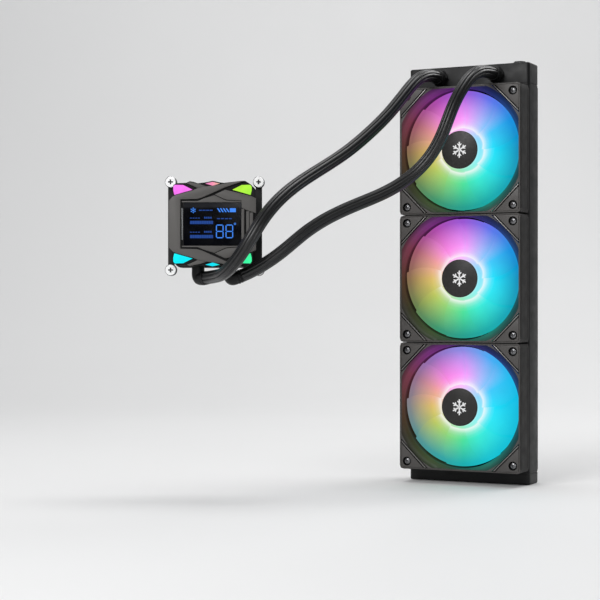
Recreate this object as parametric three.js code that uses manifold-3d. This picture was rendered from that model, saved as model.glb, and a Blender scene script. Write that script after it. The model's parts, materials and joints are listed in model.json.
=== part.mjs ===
// Closed-loop liquid cooler: a long radiator with three fans, two hoses and a square pump head.
// Millimetres. X runs along the radiator's width, the fans face -Y and +Z is up.
// The origin is the centre of the lower tank's bottom face.
import * as THREE from "three";
import { mergeVertices } from "three/addons/utils/BufferGeometryUtils.js";
import { NURBSCurve } from "three/addons/curves/NURBSCurve.js";
import Module from "manifold-3d";

const wasm = await Module();
wasm.setup();

// ---- driving dimensions ----

const GAP = 0.3; // clearance between pieces that only rest on each other
const RADIATOR = { width: 120, depth: 27, lowerTank: 12.5, upperTank: 21.5, wall: 1.5, corner: 4 };
const FAN = { pitch: 120, side: 119.7, depth: 25, bore: 57.5, screwAt: 52.5 };
const FAN_NAMES = ["bottom", "middle", "top"];
const CORE = { tubes: 12, tubeThick: 1.9, tubeDepth: 18, finDepth: 17, header: 2, channel: [1.1, 16] };
const SIDE_PLATE = { web: 1.2, flange: 12 };
const FILL_PLUG = { x: 46, head: 6, headHeight: 2.5, hole: 4 };
const ROTOR = { blades: 9, tip: 56, front: -36.5, rear: -18.5, nose: 18.2, skirt: 20.6, wall: 1.4 };
const BADGE_RADIUS = 17.7;
const MAGNET = { inner: 17.3, outer: 18.9 };
const STATOR = { inner: 4, hub: 7, outer: 16.8, teeth: 6 };
const SCREW = { shank: 1.7, head: 3.2, headDepth: 2.5, recess: 4.2, recessDepth: 3, tipY: -9.5 };
const PORT = { x: 28, rise: 11, length: 11.5, bore: 3.2 };
const HOSE = { radius: 6, sides: 8, steps: 32, lead: 13 };

// The pump head has a frame of its own: x to its right, -y out of its screen, z up,
// with the origin at the centre of the cold plate's contact face.
const HEAD = { position: [-175, -189, 238], turn: THREE.MathUtils.degToRad(26.5) };
const COLD_PLATE = { side: 54, thick: 3, fins: 15, finPitch: 2, finThick: 0.8, finTop: 6 };
const PUMP = { side: 64, flange: 68, rear: 5, front: 33, chamber: 17, chamberRear: 22 };
const PUMP_STATOR = { inner: 5, hub: 9, outer: 20, teeth: 6 };
const HOUSING = { side: 68, wall: 2, front: 47 };
const BEZEL = { rear: 47.3, front: 54, skin: 3, cavity: 66.4, corner: 3 };
const DISPLAY = { width: 50.4, height: 37.2, recess: 2 };
const LIGHT_GUIDE = { side: 65.8, opening: [54, 42] };

// The upper half of the bezel's outline, from its right edge to its left edge.
const BEZEL_EDGE = [
  [37.5, 22.8], [35.2, 25], [35.2, 31], [34, 33.6], [31.4, 35.8], [28, 37.5], [24.5, 37.5], [10, 36.3],
  [0, 37.5], [-10, 35.8], [-17, 37.3], [-21, 37.3], [-23.5, 35.7], [-30.5, 35.7], [-33.4, 34.6],
  [-35, 31.8], [-35, 25], [-37.5, 22.6],
];
const BRACKET = { hole: 39, bar: 5.7, rear: 7.3, thick: 2.2 };
const THUMBSCREW = { head: 5.25, headRear: 12.5, headTop: 17.5, shank: 2, tip: 1 };
const ELBOW = { x: 14, y: -26, radius: 6.2, collar: 7, reach: 12, bore: 3.2 };
const ELBOW_A = { x: -ELBOW.x, drop: 47.5, turn: -48, rise: 6 };
const ELBOW_B = { x: ELBOW.x, drop: 48.5, turn: -8, rise: 22 };

// Control points of the two hoses between their fittings.
const HOSE_A_ROUTE = [
  [-28, -65, 381], [-33, -86, 363], [-42, -105, 341], [-53, -125, 322], [-65, -148, 303],
  [-77, -176, 287], [-84, -206, 273], [-90, -231, 258], [-97, -247, 241], [-105, -255, 222],
  [-119, -254, 204], [-138, -243, 193],
];
const HOSE_B_ROUTE = [
  [28, -66, 382], [24, -87, 367], [17.5, -98, 348], [12, -102, 329], [4, -102, 311],
  [-8, -104, 294], [-23, -112, 279], [-39, -126, 267], [-57, -143, 257.5], [-77, -160, 246],
  [-95, -175, 231], [-110, -187, 213],
];

const CORE_BOTTOM = RADIATOR.lowerTank;
const CORE_TOP = CORE_BOTTOM + FAN_NAMES.length * FAN.pitch;
const RADIATOR_TOP = CORE_TOP + RADIATOR.upperTank;
const FRONT = -RADIATOR.depth / 2; // the radiator's front face, where the fans' backs rest
const FAN_FRONT = FRONT - FAN.depth;
const CORE_WIDTH = RADIATOR.width - 2 * (SIDE_PLATE.web + GAP);
const CORNERS = [[-1, -1], [1, -1], [1, 1], [-1, 1]];

// ---- materials ----

function material(color, roughness, metalness, extra = {}) {
  return new THREE.MeshStandardMaterial({ color, roughness, metalness, ...extra });
}

const BLACK_PAINT = material(0x1f1f20, 0.55, 0.3);
const FIN_METAL = material(0x2a2a2b, 0.5, 0.7);
const FRAME_PLASTIC = material(0x3c3a39, 0.6, 0);
const BLADE_PLASTIC = material(0xe6eef2, 0.3, 0, { transparent: true, opacity: 0.75 });
const BADGE_PLASTIC = material(0x202022, 0.4, 0);
const STEEL = material(0xc4c6c8, 0.25, 1);
const COPPER = material(0xb8734a, 0.3, 1);
const BOARD = material(0x17241c, 0.6, 0);
const FERRITE = material(0x4a4a4c, 0.7, 0.2);
const HEAD_PLASTIC = material(0x2c2c2e, 0.5, 0);
const BEZEL_PAINT = material(0x545557, 0.45, 0.4);
const SCREEN = material(0x0a1428, 0.1, 0, { emissive: 0x0c3c8c });
const LIGHT_PLASTIC = material(0xf0f4f4, 0.4, 0, { transparent: true, opacity: 0.8 });
const RUBBER = material(0x1b1b1c, 0.7, 0);

// ---- solids and booleans ----

function solid(geometry) {
  const bare = geometry.clone();
  bare.deleteAttribute("normal");
  bare.deleteAttribute("uv");
  const merged = mergeVertices(bare, 1e-4);
  return new wasm.Manifold(new wasm.Mesh({
    numProp: 3,
    vertProperties: new Float32Array(merged.attributes.position.array),
    triVerts: new Uint32Array(merged.index.array),
  }));
}

function geometryOf(manifold) {
  const { vertProperties, triVerts } = manifold.getMesh();
  const geometry = new THREE.BufferGeometry();
  geometry.setAttribute("position", new THREE.BufferAttribute(vertProperties, 3));
  geometry.setIndex(new THREE.BufferAttribute(triVerts, 1));
  geometry.computeVertexNormals();
  return geometry;
}

function join(...geometries) {
  return geometryOf(geometries.map(solid).reduce((whole, piece) => whole.add(piece)));
}

function cut(geometry, ...tools) {
  return geometryOf(tools.map(solid).reduce((left, tool) => left.subtract(tool), solid(geometry)));
}

function common(geometryA, geometryB) {
  return geometryOf(solid(geometryA).intersect(solid(geometryB)));
}

function place(group, name, geometry, look) {
  const mesh = new THREE.Mesh(geometry, look);
  mesh.name = name;
  group.add(mesh);
  return mesh;
}

// ---- basic shapes ----

// A box given by its low and high corners.
function box([x0, y0, z0], [x1, y1, z1]) {
  const geometry = new THREE.BoxGeometry(x1 - x0, y1 - y0, z1 - z0);
  return geometry.translate((x0 + x1) / 2, (y0 + y1) / 2, (z0 + z1) / 2);
}

// A cylinder or cone along Y between two y values, centred on (x, z).
function rodY(radius, y0, y1, x = 0, z = 0, sides = 24, radiusAtY1 = radius) {
  const geometry = new THREE.CylinderGeometry(radiusAtY1, radius, y1 - y0, sides);
  return geometry.translate(x, (y0 + y1) / 2, z);
}

// A cylinder from one point to another.
function rod(radius, from, to, sides = 10) {
  const direction = to.clone().sub(from);
  const geometry = new THREE.CylinderGeometry(radius, radius, direction.length(), sides);
  const up = new THREE.Vector3(0, 1, 0);
  geometry.applyQuaternion(new THREE.Quaternion().setFromUnitVectors(up, direction.normalize()));
  const middle = from.clone().add(to).multiplyScalar(0.5);
  return geometry.translate(middle.x, middle.y, middle.z);
}

function turned(profile, sides) {
  return new THREE.LatheGeometry(profile.map(([r, y]) => new THREE.Vector2(r, y)), sides);
}

// A ring about the Y axis.
function ringY(inner, outer, y0, y1, sides) {
  return turned([[inner, y0], [outer, y0], [outer, y1], [inner, y1], [inner, y0]], sides);
}

function roundedRectangle(width, height, radius) {
  const shape = new THREE.Shape();
  const [x, y] = [width / 2 - radius, height / 2 - radius];
  shape.absarc(x, y, radius, 0, Math.PI / 2);
  shape.absarc(-x, y, radius, Math.PI / 2, Math.PI);
  shape.absarc(-x, -y, radius, Math.PI, Math.PI * 1.5);
  shape.absarc(x, -y, radius, Math.PI * 1.5, Math.PI * 2);
  shape.closePath();
  return shape;
}

// A plate whose outline lies in the XZ plane, between two distances in front of y = 0.
function plate(shape, rear, front, curveSegments = 1) {
  const geometry = new THREE.ExtrudeGeometry(shape, {
    depth: front - rear, bevelEnabled: false, curveSegments,
  });
  return geometry.rotateX(Math.PI / 2).translate(0, -rear, 0);
}

// ---- radiator ----

// Flat coolant tubes standing between two header plates, with the fin strips between them.
function radiatorCore() {
  const { tubes, tubeThick, tubeDepth, finDepth, header } = CORE;
  const finWidth = (CORE_WIDTH - tubes * tubeThick) / (tubes + 1);
  const half = CORE_WIDTH / 2;
  const headerHalf = RADIATOR.depth / 2 - RADIATOR.wall;
  const parts = [
    box([-half, -finDepth / 2, CORE_BOTTOM + 1], [half, finDepth / 2, CORE_TOP - 1]),
    box([-half, -headerHalf, CORE_BOTTOM], [half, headerHalf, CORE_BOTTOM + header]),
    box([-half, -headerHalf, CORE_TOP - header], [half, headerHalf, CORE_TOP]),
  ];
  const channels = [];
  for (let i = 0; i < tubes; i += 1) {
    const left = -half + finWidth + i * (finWidth + tubeThick);
    const middle = left + tubeThick / 2;
    const [halfWide, halfDeep] = CORE.channel.map((size) => size / 2);
    parts.push(box(
      [left, -tubeDepth / 2, CORE_BOTTOM + 1],
      [left + tubeThick, tubeDepth / 2, CORE_TOP - 1],
    ));
    channels.push(box(
      [middle - halfWide, -halfDeep, CORE_BOTTOM - 1],
      [middle + halfWide, halfDeep, CORE_TOP + 1],
    ));
  }
  return cut(join(...parts), ...channels);
}

// An end tank with rounded edges, standing on z = 0 with its mouth at the top.
function tankShell(height) {
  const { width, depth, wall, corner } = RADIATOR;
  const bevel = 2;
  const outer = new THREE.ExtrudeGeometry(roundedRectangle(width, depth, corner), {
    depth: height, bevelThickness: bevel, bevelSize: bevel, bevelOffset: -bevel,
    bevelSegments: 2, curveSegments: 2,
  }).translate(0, 0, bevel);
  const [x, y] = [width / 2 - wall, depth / 2 - wall];
  return cut(
    outer,
    box([-width, -depth, height], [width, depth, height + 3 * bevel]),
    box([-x, -y, wall + 0.5], [x, y, height + 1]),
  );
}

function upperTank() {
  const shell = tankShell(RADIATOR.upperTank).rotateX(Math.PI).translate(0, 0, RADIATOR_TOP);
  const z = CORE_TOP + PORT.rise;
  const holes = [-PORT.x, PORT.x].map((x) => rodY(4, FRONT - 1, FRONT + 3, x, z, 12));
  const { x: plugX, hole } = FILL_PLUG;
  const filler = new THREE.CylinderGeometry(hole, hole, 5, 12).rotateX(Math.PI / 2);
  return cut(shell, ...holes, filler.translate(plugX, 0, RADIATOR_TOP));
}

// A hex-headed plug: its stub stands in the hole in the upper tank's top face.
function fillPlug() {
  const { x, head, headHeight, hole } = FILL_PLUG;
  const stub = hole - GAP;
  const cap = new THREE.CylinderGeometry(head, head, headHeight, 6).rotateX(Math.PI / 2);
  const stem = new THREE.CylinderGeometry(stub, stub, 4, 12).rotateX(Math.PI / 2);
  return join(
    cap.translate(x, 0, RADIATOR_TOP + headHeight / 2),
    stem.translate(x, 0, RADIATOR_TOP - 1),
  );
}

// The plate that parts the inlet side of the upper tank from the outlet side.
function tankDivider() {
  const y = RADIATOR.depth / 2 - RADIATOR.wall - GAP;
  const top = RADIATOR_TOP - RADIATOR.wall - 0.5 - GAP;
  return box([-0.6, -y, CORE_TOP + GAP], [0.6, y, top]);
}

// A U channel that closes one side of the core and carries the screws of the fans.
function sidePlate(side) {
  const { width, depth, wall } = RADIATOR;
  const { web, flange } = SIDE_PLATE;
  const [x, y] = [width / 2, depth / 2];
  const channel = cut(
    box([x - flange, -y, CORE_BOTTOM], [x, y, CORE_TOP]),
    box([x - flange - 1, -y + web, CORE_BOTTOM - 1], [x - web, y - web, CORE_TOP + 1]),
  );
  const holes = FAN_NAMES.flatMap((_, i) => [-1, 1].map((end) => {
    const z = fanCentre(i) + end * FAN.screwAt;
    return rodY(SCREW.shank + GAP, -y - wall, y + wall, FAN.screwAt, z, 6);
  }));
  const drilled = cut(channel, ...holes);
  return side < 0 ? drilled.rotateZ(Math.PI) : drilled;
}

// A straight fitting on the tank's front face: foot, hexagon and round collar for the hose.
function hosePort() {
  const { length, bore } = PORT;
  const body = turned([
    [0, -length], [6.6, -length], [7, -length + 0.6], [7, -5], [5.5, -5], [5.5, 0], [0, 0],
  ], 16);
  const hexagon = rodY(8, -4, 0, 0, 0, 6);
  return cut(join(body, hexagon), rodY(bore, -length - 1, 1, 0, 0, 8));
}

// ---- fans ----

function fanCentre(index) {
  return CORE_BOTTOM + FAN.pitch * (index + 0.5);
}

// The square frame: round duct, flared corners, screw holes, back struts and motor seat.
function fanFrame() {
  const { side, bore, screwAt } = FAN;
  const flareDepth = 5;
  const rim = side / 2 - 1.25;
  const outer = plate(roundedRectangle(side, side, 3), -FRONT, -FAN_FRONT);
  const flare = common(
    rodY(bore + 6.5 * 1.2, FAN_FRONT - 1, FAN_FRONT + flareDepth, 0, 0, 32, bore),
    box([-rim, FAN_FRONT - 1, -rim], [rim, FRONT, rim]),
  );
  const holes = CORNERS.flatMap(([i, k]) => [
    rodY(SCREW.shank + GAP, FAN_FRONT - 1, FRONT + 1, i * screwAt, k * screwAt, 6),
    rodY(SCREW.recess, FAN_FRONT - 1, FAN_FRONT + SCREW.recessDepth, i * screwAt, k * screwAt, 8),
  ]);
  const shell = cut(outer, rodY(bore, FAN_FRONT - 2, FRONT + 1, 0, 0, 32), flare, ...holes);
  const struts = [0, 1, 2, 3].map((i) => {
    const strut = box([17.3, FRONT - 3, 6], [bore + 0.8, FRONT, 10]);
    return strut.rotateY((i + 0.35) * Math.PI / 2);
  });
  const seat = rodY(20.5, FRONT - 2.5, FRONT, 0, 0, 16);
  const bearing = rodY(3.6, FRONT - 15.5, FRONT - 1, 0, 0, 8);
  const shaftHole = rodY(1.8, FRONT - 17, FRONT - 1, 0, 0, 8);
  return cut(join(shell, ...struts, seat, bearing), shaftHole);
}

// The hub's outer radius at a place along the fan's axis.
function hubRadius(y) {
  const coneEnd = ROTOR.front + 10.5;
  const along = THREE.MathUtils.clamp((y - ROTOR.front) / (coneEnd - ROTOR.front), 0, 1);
  return THREE.MathUtils.lerp(ROTOR.nose, ROTOR.skirt, along);
}

// One swept blade: a thin sheet that turns about the axis as it runs from front to back.
function blade() {
  const { tip, front, rear } = ROTOR;
  const [across, along, thick] = [3, 2, 1.5];
  const sweep = THREE.MathUtils.degToRad(37);
  const lean = THREE.MathUtils.degToRad(16);
  const rows = across + 1;
  const perSide = rows * (along + 1);
  const positions = [];
  for (const layer of [-0.5, 0.5]) {
    for (let j = 0; j <= along; j += 1) {
      for (let i = 0; i < rows; i += 1) {
        const y = THREE.MathUtils.lerp(front + 1.8, rear - 1.2, i / across) + layer * thick;
        const r = THREE.MathUtils.lerp(hubRadius(y) - 0.7, tip, j / along);
        const angle = sweep * (i / across) + lean * (j / along) ** 2;
        positions.push(r * Math.cos(angle), y, r * Math.sin(angle));
      }
    }
  }
  const index = [];
  const quad = (a, b, c, d) => index.push(a, b, c, a, c, d);
  for (let j = 0; j < along; j += 1) {
    for (let i = 0; i < across; i += 1) {
      const a = j * rows + i;
      quad(a, a + rows, a + rows + 1, a + 1);
      quad(perSide + a, perSide + a + 1, perSide + a + rows + 1, perSide + a + rows);
    }
  }
  const edge = [];
  for (let i = 0; i < across; i += 1) edge.push(i);
  for (let j = 0; j < along; j += 1) edge.push(j * rows + across);
  for (let i = across; i > 0; i -= 1) edge.push(along * rows + i);
  for (let j = along; j > 0; j -= 1) edge.push(j * rows);
  edge.forEach((a, n) => {
    const b = edge[(n + 1) % edge.length];
    quad(a, b, b + perSide, a + perSide);
  });
  const geometry = new THREE.BufferGeometry();
  geometry.setAttribute("position", new THREE.Float32BufferAttribute(positions, 3));
  geometry.setIndex(index);
  return geometry;
}

// Hub cup, shaft and blades moulded in one.
function fanRotor() {
  const { blades, front, rear, nose, skirt, wall } = ROTOR;
  const coneEnd = front + 10.5;
  const hub = turned([
    [0, front], [nose, front], [skirt, coneEnd], [skirt, rear], [skirt - wall, rear],
    [skirt - wall, coneEnd], [nose - wall, front + 2], [1.5, front + 2], [1.5, FRONT - 3], [0, FRONT - 3],
  ], 20);
  const around = [...Array(blades).keys()].map((i) => blade().rotateY(i * 2 * Math.PI / blades));
  return join(hub, ...around);
}

// The motor's wound core: a hub with T-shaped teeth.
function statorCore({ inner, hub, outer, teeth }, rear, front) {
  const shape = new THREE.Shape();
  const pitch = 2 * Math.PI / teeth;
  const polar = (r, angle) => [r * Math.cos(angle), r * Math.sin(angle)];
  for (let i = 0; i < teeth; i += 1) {
    const middle = i * pitch;
    const corners = [
      polar(hub, middle - 0.25 * pitch), polar(outer - 2, middle - 0.1 * pitch),
      polar(outer - 2, middle - 0.4 * pitch), polar(outer, middle - 0.35 * pitch),
      polar(outer, middle + 0.35 * pitch), polar(outer - 2, middle + 0.4 * pitch),
      polar(outer - 2, middle + 0.1 * pitch), polar(hub, middle + 0.25 * pitch),
    ];
    corners.forEach((point, n) => (i + n === 0 ? shape.moveTo(...point) : shape.lineTo(...point)));
  }
  shape.closePath();
  const hole = new THREE.Path();
  hole.absarc(0, 0, inner, 0, 2 * Math.PI, true);
  shape.holes.push(hole);
  return plate(shape, rear, front, 4);
}

function fanScrew() {
  const { shank, head, headDepth, recessDepth, tipY } = SCREW;
  const seat = FAN_FRONT + recessDepth;
  return turned([
    [0, seat - headDepth], [head - 0.5, seat - headDepth], [head, seat - headDepth + 0.6],
    [head, seat], [shank, seat], [shank, tipY], [0, tipY],
  ], 8);
}

function addFan(group, index) {
  const name = FAN_NAMES[index];
  const fan = new THREE.Group();
  fan.position.z = fanCentre(index);
  place(fan, `fan_frame_${name}`, fanFrame(), FRAME_PLASTIC);
  place(fan, `fan_rotor_${name}`, fanRotor(), BLADE_PLASTIC);
  place(fan, `fan_badge_${name}`, rodY(BADGE_RADIUS, ROTOR.front - 1, ROTOR.front, 0, 0, 16), BADGE_PLASTIC);
  const magnet = ringY(MAGNET.inner, MAGNET.outer, -26, -19.5, 24);
  place(fan, `fan_magnet_${name}`, magnet, FERRITE);
  place(fan, `fan_stator_${name}`, statorCore(STATOR, 20, 27), COPPER);
  place(fan, `fan_led_board_${name}`, ringY(9, 17, FRONT - 3.5, FRONT - 2.5, 12), BOARD);
  CORNERS.forEach(([i, k], n) => {
    const screw = place(fan, `fan_screw_${name}_${n + 1}`, fanScrew(), STEEL);
    screw.position.set(i * FAN.screwAt, 0, k * FAN.screwAt);
  });
  group.add(fan);
}

// ---- pump head ----

// Copper base with a comb of thin fins on the coolant side.
function coldPlate() {
  const { side, thick, fins, finPitch, finThick, finTop } = COLD_PLATE;
  const base = plate(roundedRectangle(side, side, 4), 0, thick);
  const comb = [...Array(fins).keys()].map((i) => {
    const x = (i - (fins - 1) / 2) * finPitch;
    return box([x - finThick / 2, -finTop, -15], [x + finThick / 2, -thick + 0.5, 15]);
  });
  return join(base, ...comb);
}

function gasket() {
  const shape = roundedRectangle(50, 50, 4);
  shape.holes.push(roundedRectangle(45, 45, 2));
  return plate(shape, COLD_PLATE.thick + GAP, PUMP.rear - GAP);
}

// The moulded base: fin pocket, impeller chamber and the two ducts to the elbows.
function pumpBase() {
  const { side, flange, rear, front, chamber, chamberRear } = PUMP;
  const inlet = new THREE.Vector3(ELBOW.x, ELBOW.y, -19);
  const outlet = new THREE.Vector3(-ELBOW.x, ELBOW.y, -9);
  const below = (point) => new THREE.Vector3(point.x, point.y, -side / 2 - 1);
  return cut(
    join(
      plate(roundedRectangle(side, side, 8), rear, front),
      plate(roundedRectangle(flange, flange, 8), rear, BRACKET.rear - GAP),
    ),
    box([-20, -rear - 3, -20], [20, 0, 20]),
    rodY(4, -chamberRear - 1, -rear - 2, 0, 0, 12),
    rodY(chamber, -front - 1, -chamberRear, 0, 0, 24),
    rod(3.2, inlet, below(inlet), 12),
    rodY(3, ELBOW.y, -rear - 2, ELBOW.x, -17, 12),
    rod(3.2, outlet, below(outlet), 12),
  );
}

// A disc with curved vanes behind it and the magnet boss in front of it.
function impeller() {
  const { chamber, front, chamberRear } = PUMP;
  const radius = chamber - 1.5;
  const vanes = [0, 1, 2, 3, 4, 5].map((i) => {
    const vane = box([4.5, -chamberRear - 4, -0.6], [radius - 0.5, -chamberRear - 0.8, 0.6]);
    return vane.rotateY(i * Math.PI / 3);
  });
  return cut(
    join(
      rodY(radius, -chamberRear - 5.5, -chamberRear - 3.5, 0, 0, 20),
      rodY(7.5, -front + 0.8, -chamberRear - 5, 0, 0, 16),
      ...vanes,
    ),
    rodY(1.8, -front - 1, -chamberRear + 1, 0, 0, 12),
  );
}

function chamberLid() {
  const lid = plate(roundedRectangle(60, 60, 6), PUMP.front + GAP, PUMP.front + GAP + 2);
  return cut(lid, rodY(1.8, -PUMP.front - 4, -PUMP.front + 1, 0, 0, 12));
}

// The square shell round the motor and the boards, open at both ends.
function housing() {
  const { side, wall, front } = HOUSING;
  const shape = roundedRectangle(side, side, 8);
  shape.holes.push(roundedRectangle(side - 2 * wall, side - 2 * wall, 6));
  return plate(shape, PUMP.front + GAP, front, 2);
}

// Corner and edge windows in the bezel through which the light guide shines.
function lightWindows() {
  const windows = [];
  for (const [i, k] of CORNERS) {
    const shape = new THREE.Shape();
    shape.moveTo(i * 33.4, k * 31);
    shape.lineTo(i * 32, k * 33.8);
    shape.lineTo(i * 25.3, k * 33.8);
    shape.lineTo(i * 17.4, k * 29.8);
    shape.lineTo(i * 33.4, k * 25.2);
    shape.closePath();
    windows.push(plate(shape, BEZEL.rear, BEZEL.front + 1));
  }
  for (const k of [-1, 1]) {
    const shape = new THREE.Shape();
    shape.moveTo(-5.2, k * 34.4);
    shape.lineTo(0, k * 33.4);
    shape.lineTo(5.2, k * 34.4);
    shape.lineTo(0, k * 35.6);
    shape.closePath();
    windows.push(plate(shape, BEZEL.rear, BEZEL.front + 1));
  }
  return windows;
}

function bezel() {
  const { rear, front, skin, cavity, corner } = BEZEL;
  const { width, height } = DISPLAY;
  const lower = BEZEL_EDGE.map(([x, z]) => [x, -z]).reverse();
  const outline = new THREE.Shape([...BEZEL_EDGE, ...lower].map(([x, z]) => new THREE.Vector2(x, z)));
  return cut(
    plate(outline, rear, front),
    plate(roundedRectangle(cavity, cavity, corner), rear - 1, front - skin),
    box([-width / 2, -front - 1, -height / 2], [width / 2, -rear + 1, height / 2]),
    ...lightWindows(),
  );
}

// The screen module: a tray behind the bezel with the glass standing in the bezel's opening.
function display() {
  const { width, height, recess } = DISPLAY;
  const skinRear = BEZEL.front - BEZEL.skin;
  const [x, z] = [width / 2 - GAP, height / 2 - GAP];
  return join(
    box([-x - 1.5, -skinRear + GAP, -z - 1.5], [x + 1.5, -43, z + 1.5]),
    box([-x, -BEZEL.front + recess, -z], [x, -45, z]),
  );
}

function lightGuide() {
  const shape = roundedRectangle(LIGHT_GUIDE.side, LIGHT_GUIDE.side, BEZEL.corner);
  shape.holes.push(roundedRectangle(...LIGHT_GUIDE.opening, 1));
  return plate(shape, BEZEL.rear + GAP, BEZEL.front - BEZEL.skin - GAP);
}

// Retention frame: a square ring on the base's flange, two upright bars and four screw eyes.
function bracket() {
  const { hole, bar, rear, thick } = BRACKET;
  const front = rear + thick;
  const ring = roundedRectangle(74, 74, 8);
  ring.holes.push(roundedRectangle(PUMP.side + 2 * GAP, PUMP.side + 2 * GAP, 8));
  const bars = [-1, 1].map((i) => (
    box([i * hole - bar / 2, -front, -hole], [i * hole + bar / 2, -rear, hole])
  ));
  const eyes = CORNERS.map(([i, k]) => rodY(5.5, -front, -rear, i * hole, k * hole, 10));
  const holes = CORNERS.map(([i, k]) => (
    rodY(THUMBSCREW.shank + 0.5, -front - 1, -rear + 1, i * hole, k * hole, 6)
  ));
  return cut(join(plate(ring, rear, front), ...bars, ...eyes), ...holes);
}

function thumbscrew() {
  const { head, headRear, headTop, shank, tip } = THUMBSCREW;
  return turned([
    [0, -headTop], [head - 0.9, -headTop], [head, -headTop + 0.9], [head, -headRear],
    [shank, -headRear], [shank, -tip], [0, -tip],
  ], 12);
}

// The direction in which an elbow's outlet points, in the head's frame.
function outletDirection({ turn, rise }) {
  const [a, b] = [turn, rise].map(THREE.MathUtils.degToRad);
  return new THREE.Vector3(Math.cos(a) * Math.cos(b), Math.sin(a) * Math.cos(b), Math.sin(b));
}

function elbowCorner({ x, drop }) {
  return new THREE.Vector3(x, ELBOW.y, -drop);
}

function outletEnd(elbow) {
  return elbowCorner(elbow).addScaledVector(outletDirection(elbow), ELBOW.reach);
}

// A swivel elbow: collar under the pump base, upright stem, round corner and outlet.
function elbowFitting(elbow) {
  const { radius, collar, bore, reach } = ELBOW;
  const top = new THREE.Vector3(elbow.x, ELBOW.y, -PUMP.side / 2 - GAP);
  const underCollar = top.clone().setZ(top.z - 3);
  const corner = elbowCorner(elbow);
  const end = outletEnd(elbow);
  const direction = outletDirection(elbow);
  const collarStart = corner.clone().addScaledVector(direction, reach - 4);
  const ball = new THREE.SphereGeometry(radius, 10, 6).translate(corner.x, corner.y, corner.z);
  return cut(
    join(
      rod(collar, underCollar, top),
      rod(radius - 0.4, corner, top),
      ball,
      rod(radius - 0.4, corner, end),
      rod(collar, collarStart, end),
    ),
    rod(bore, corner, top.clone().setZ(top.z + 1), 6),
    rod(bore, corner, corner.clone().addScaledVector(direction, reach + 1), 6),
  );
}

function addPumpHead(group) {
  const head = new THREE.Group();
  head.position.set(...HEAD.position);
  head.rotation.z = HEAD.turn;
  place(head, "cold_plate", coldPlate(), COPPER);
  place(head, "cold_plate_gasket", gasket(), RUBBER);
  place(head, "pump_base", pumpBase(), HEAD_PLASTIC);
  place(head, "pump_impeller", impeller(), LIGHT_PLASTIC);
  place(head, "pump_shaft", rodY(1.5, -PUMP.front - 2, -PUMP.chamberRear - 1, 0, 0, 12), STEEL);
  place(head, "pump_chamber_lid", chamberLid(), HEAD_PLASTIC);
  place(head, "pump_stator", statorCore(PUMP_STATOR, 36, 40), COPPER);
  place(head, "control_board", box([-28, -42, -28], [28, -40.5, 28]), BOARD);
  place(head, "pump_housing", housing(), HEAD_PLASTIC);
  place(head, "light_guide", lightGuide(), LIGHT_PLASTIC);
  place(head, "display", display(), SCREEN);
  place(head, "bezel", bezel(), BEZEL_PAINT);
  place(head, "retention_bracket", bracket(), BLACK_PAINT);
  place(head, "elbow_outlet", elbowFitting(ELBOW_A), HEAD_PLASTIC);
  place(head, "elbow_inlet", elbowFitting(ELBOW_B), HEAD_PLASTIC);
  CORNERS.forEach(([i, k], n) => {
    const screw = place(head, `thumbscrew_${n + 1}`, thumbscrew(), STEEL);
    screw.position.set(i * BRACKET.hole, 0, k * BRACKET.hole);
  });
  head.updateMatrixWorld();
  group.add(head);
  return head;
}

// ---- hoses ----

// A tube from a port's mouth to an elbow's mouth, straight out of each for a short way.
function hose(head, portX, route, elbow) {
  const z = CORE_TOP + PORT.rise;
  const start = new THREE.Vector3(portX, FRONT - PORT.length - GAP, z);
  const afterStart = start.clone().setY(start.y - HOSE.lead);
  const direction = outletDirection(elbow).transformDirection(head.matrixWorld);
  const end = outletEnd(elbow).applyMatrix4(head.matrixWorld).addScaledVector(direction, GAP);
  const beforeEnd = end.clone().addScaledVector(direction, HOSE.lead);
  const points = [start, afterStart, ...route.map((p) => new THREE.Vector3(...p)), beforeEnd, end];
  const degree = 3;
  const spans = points.length - degree;
  const knots = points.concat(Array(degree + 1).fill(0)).map((_, i) => (
    THREE.MathUtils.clamp((i - degree) / spans, 0, 1)
  ));
  const controls = points.map((p) => new THREE.Vector4(p.x, p.y, p.z, 1));
  const section = new THREE.Shape();
  section.absarc(0, 0, HOSE.radius, 0, 2 * Math.PI);
  return new THREE.ExtrudeGeometry(section, {
    steps: HOSE.steps,
    curveSegments: HOSE.sides / 2,
    extrudePath: new NURBSCurve(degree, knots, controls),
  });
}

// ---- the whole object ----

const cooler = new THREE.Group();
place(cooler, "radiator_core", radiatorCore(), FIN_METAL);
place(cooler, "tank_lower", tankShell(RADIATOR.lowerTank), BLACK_PAINT);
place(cooler, "tank_upper", upperTank(), BLACK_PAINT);
place(cooler, "tank_divider", tankDivider(), BLACK_PAINT);
place(cooler, "fill_plug", fillPlug(), BLACK_PAINT);
place(cooler, "side_plate_left", sidePlate(-1), BLACK_PAINT);
place(cooler, "side_plate_right", sidePlate(1), BLACK_PAINT);
for (const [name, x] of [["hose_port_left", -PORT.x], ["hose_port_right", PORT.x]]) {
  const port = place(cooler, name, hosePort(), BLACK_PAINT);
  port.position.set(x, FRONT, CORE_TOP + PORT.rise);
}
FAN_NAMES.forEach((_, index) => addFan(cooler, index));
const pumpHead = addPumpHead(cooler);
place(cooler, "hose_left", hose(pumpHead, -PORT.x, HOSE_A_ROUTE, ELBOW_A), RUBBER);
place(cooler, "hose_right", hose(pumpHead, PORT.x, HOSE_B_ROUTE, ELBOW_B), RUBBER);

export default cooler;
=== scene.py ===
"""Looks of a closed-loop liquid cooler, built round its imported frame: radiator, fans, hoses and pump head.

Shapes are drawn in millimetres and become metres when their mesh is made. The fans, the radiator and the
pump head's screen all face -Y in the frame that they are drawn in.
"""

import json
import math

import bmesh
import bpy
from mathutils import Matrix, Vector


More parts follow.
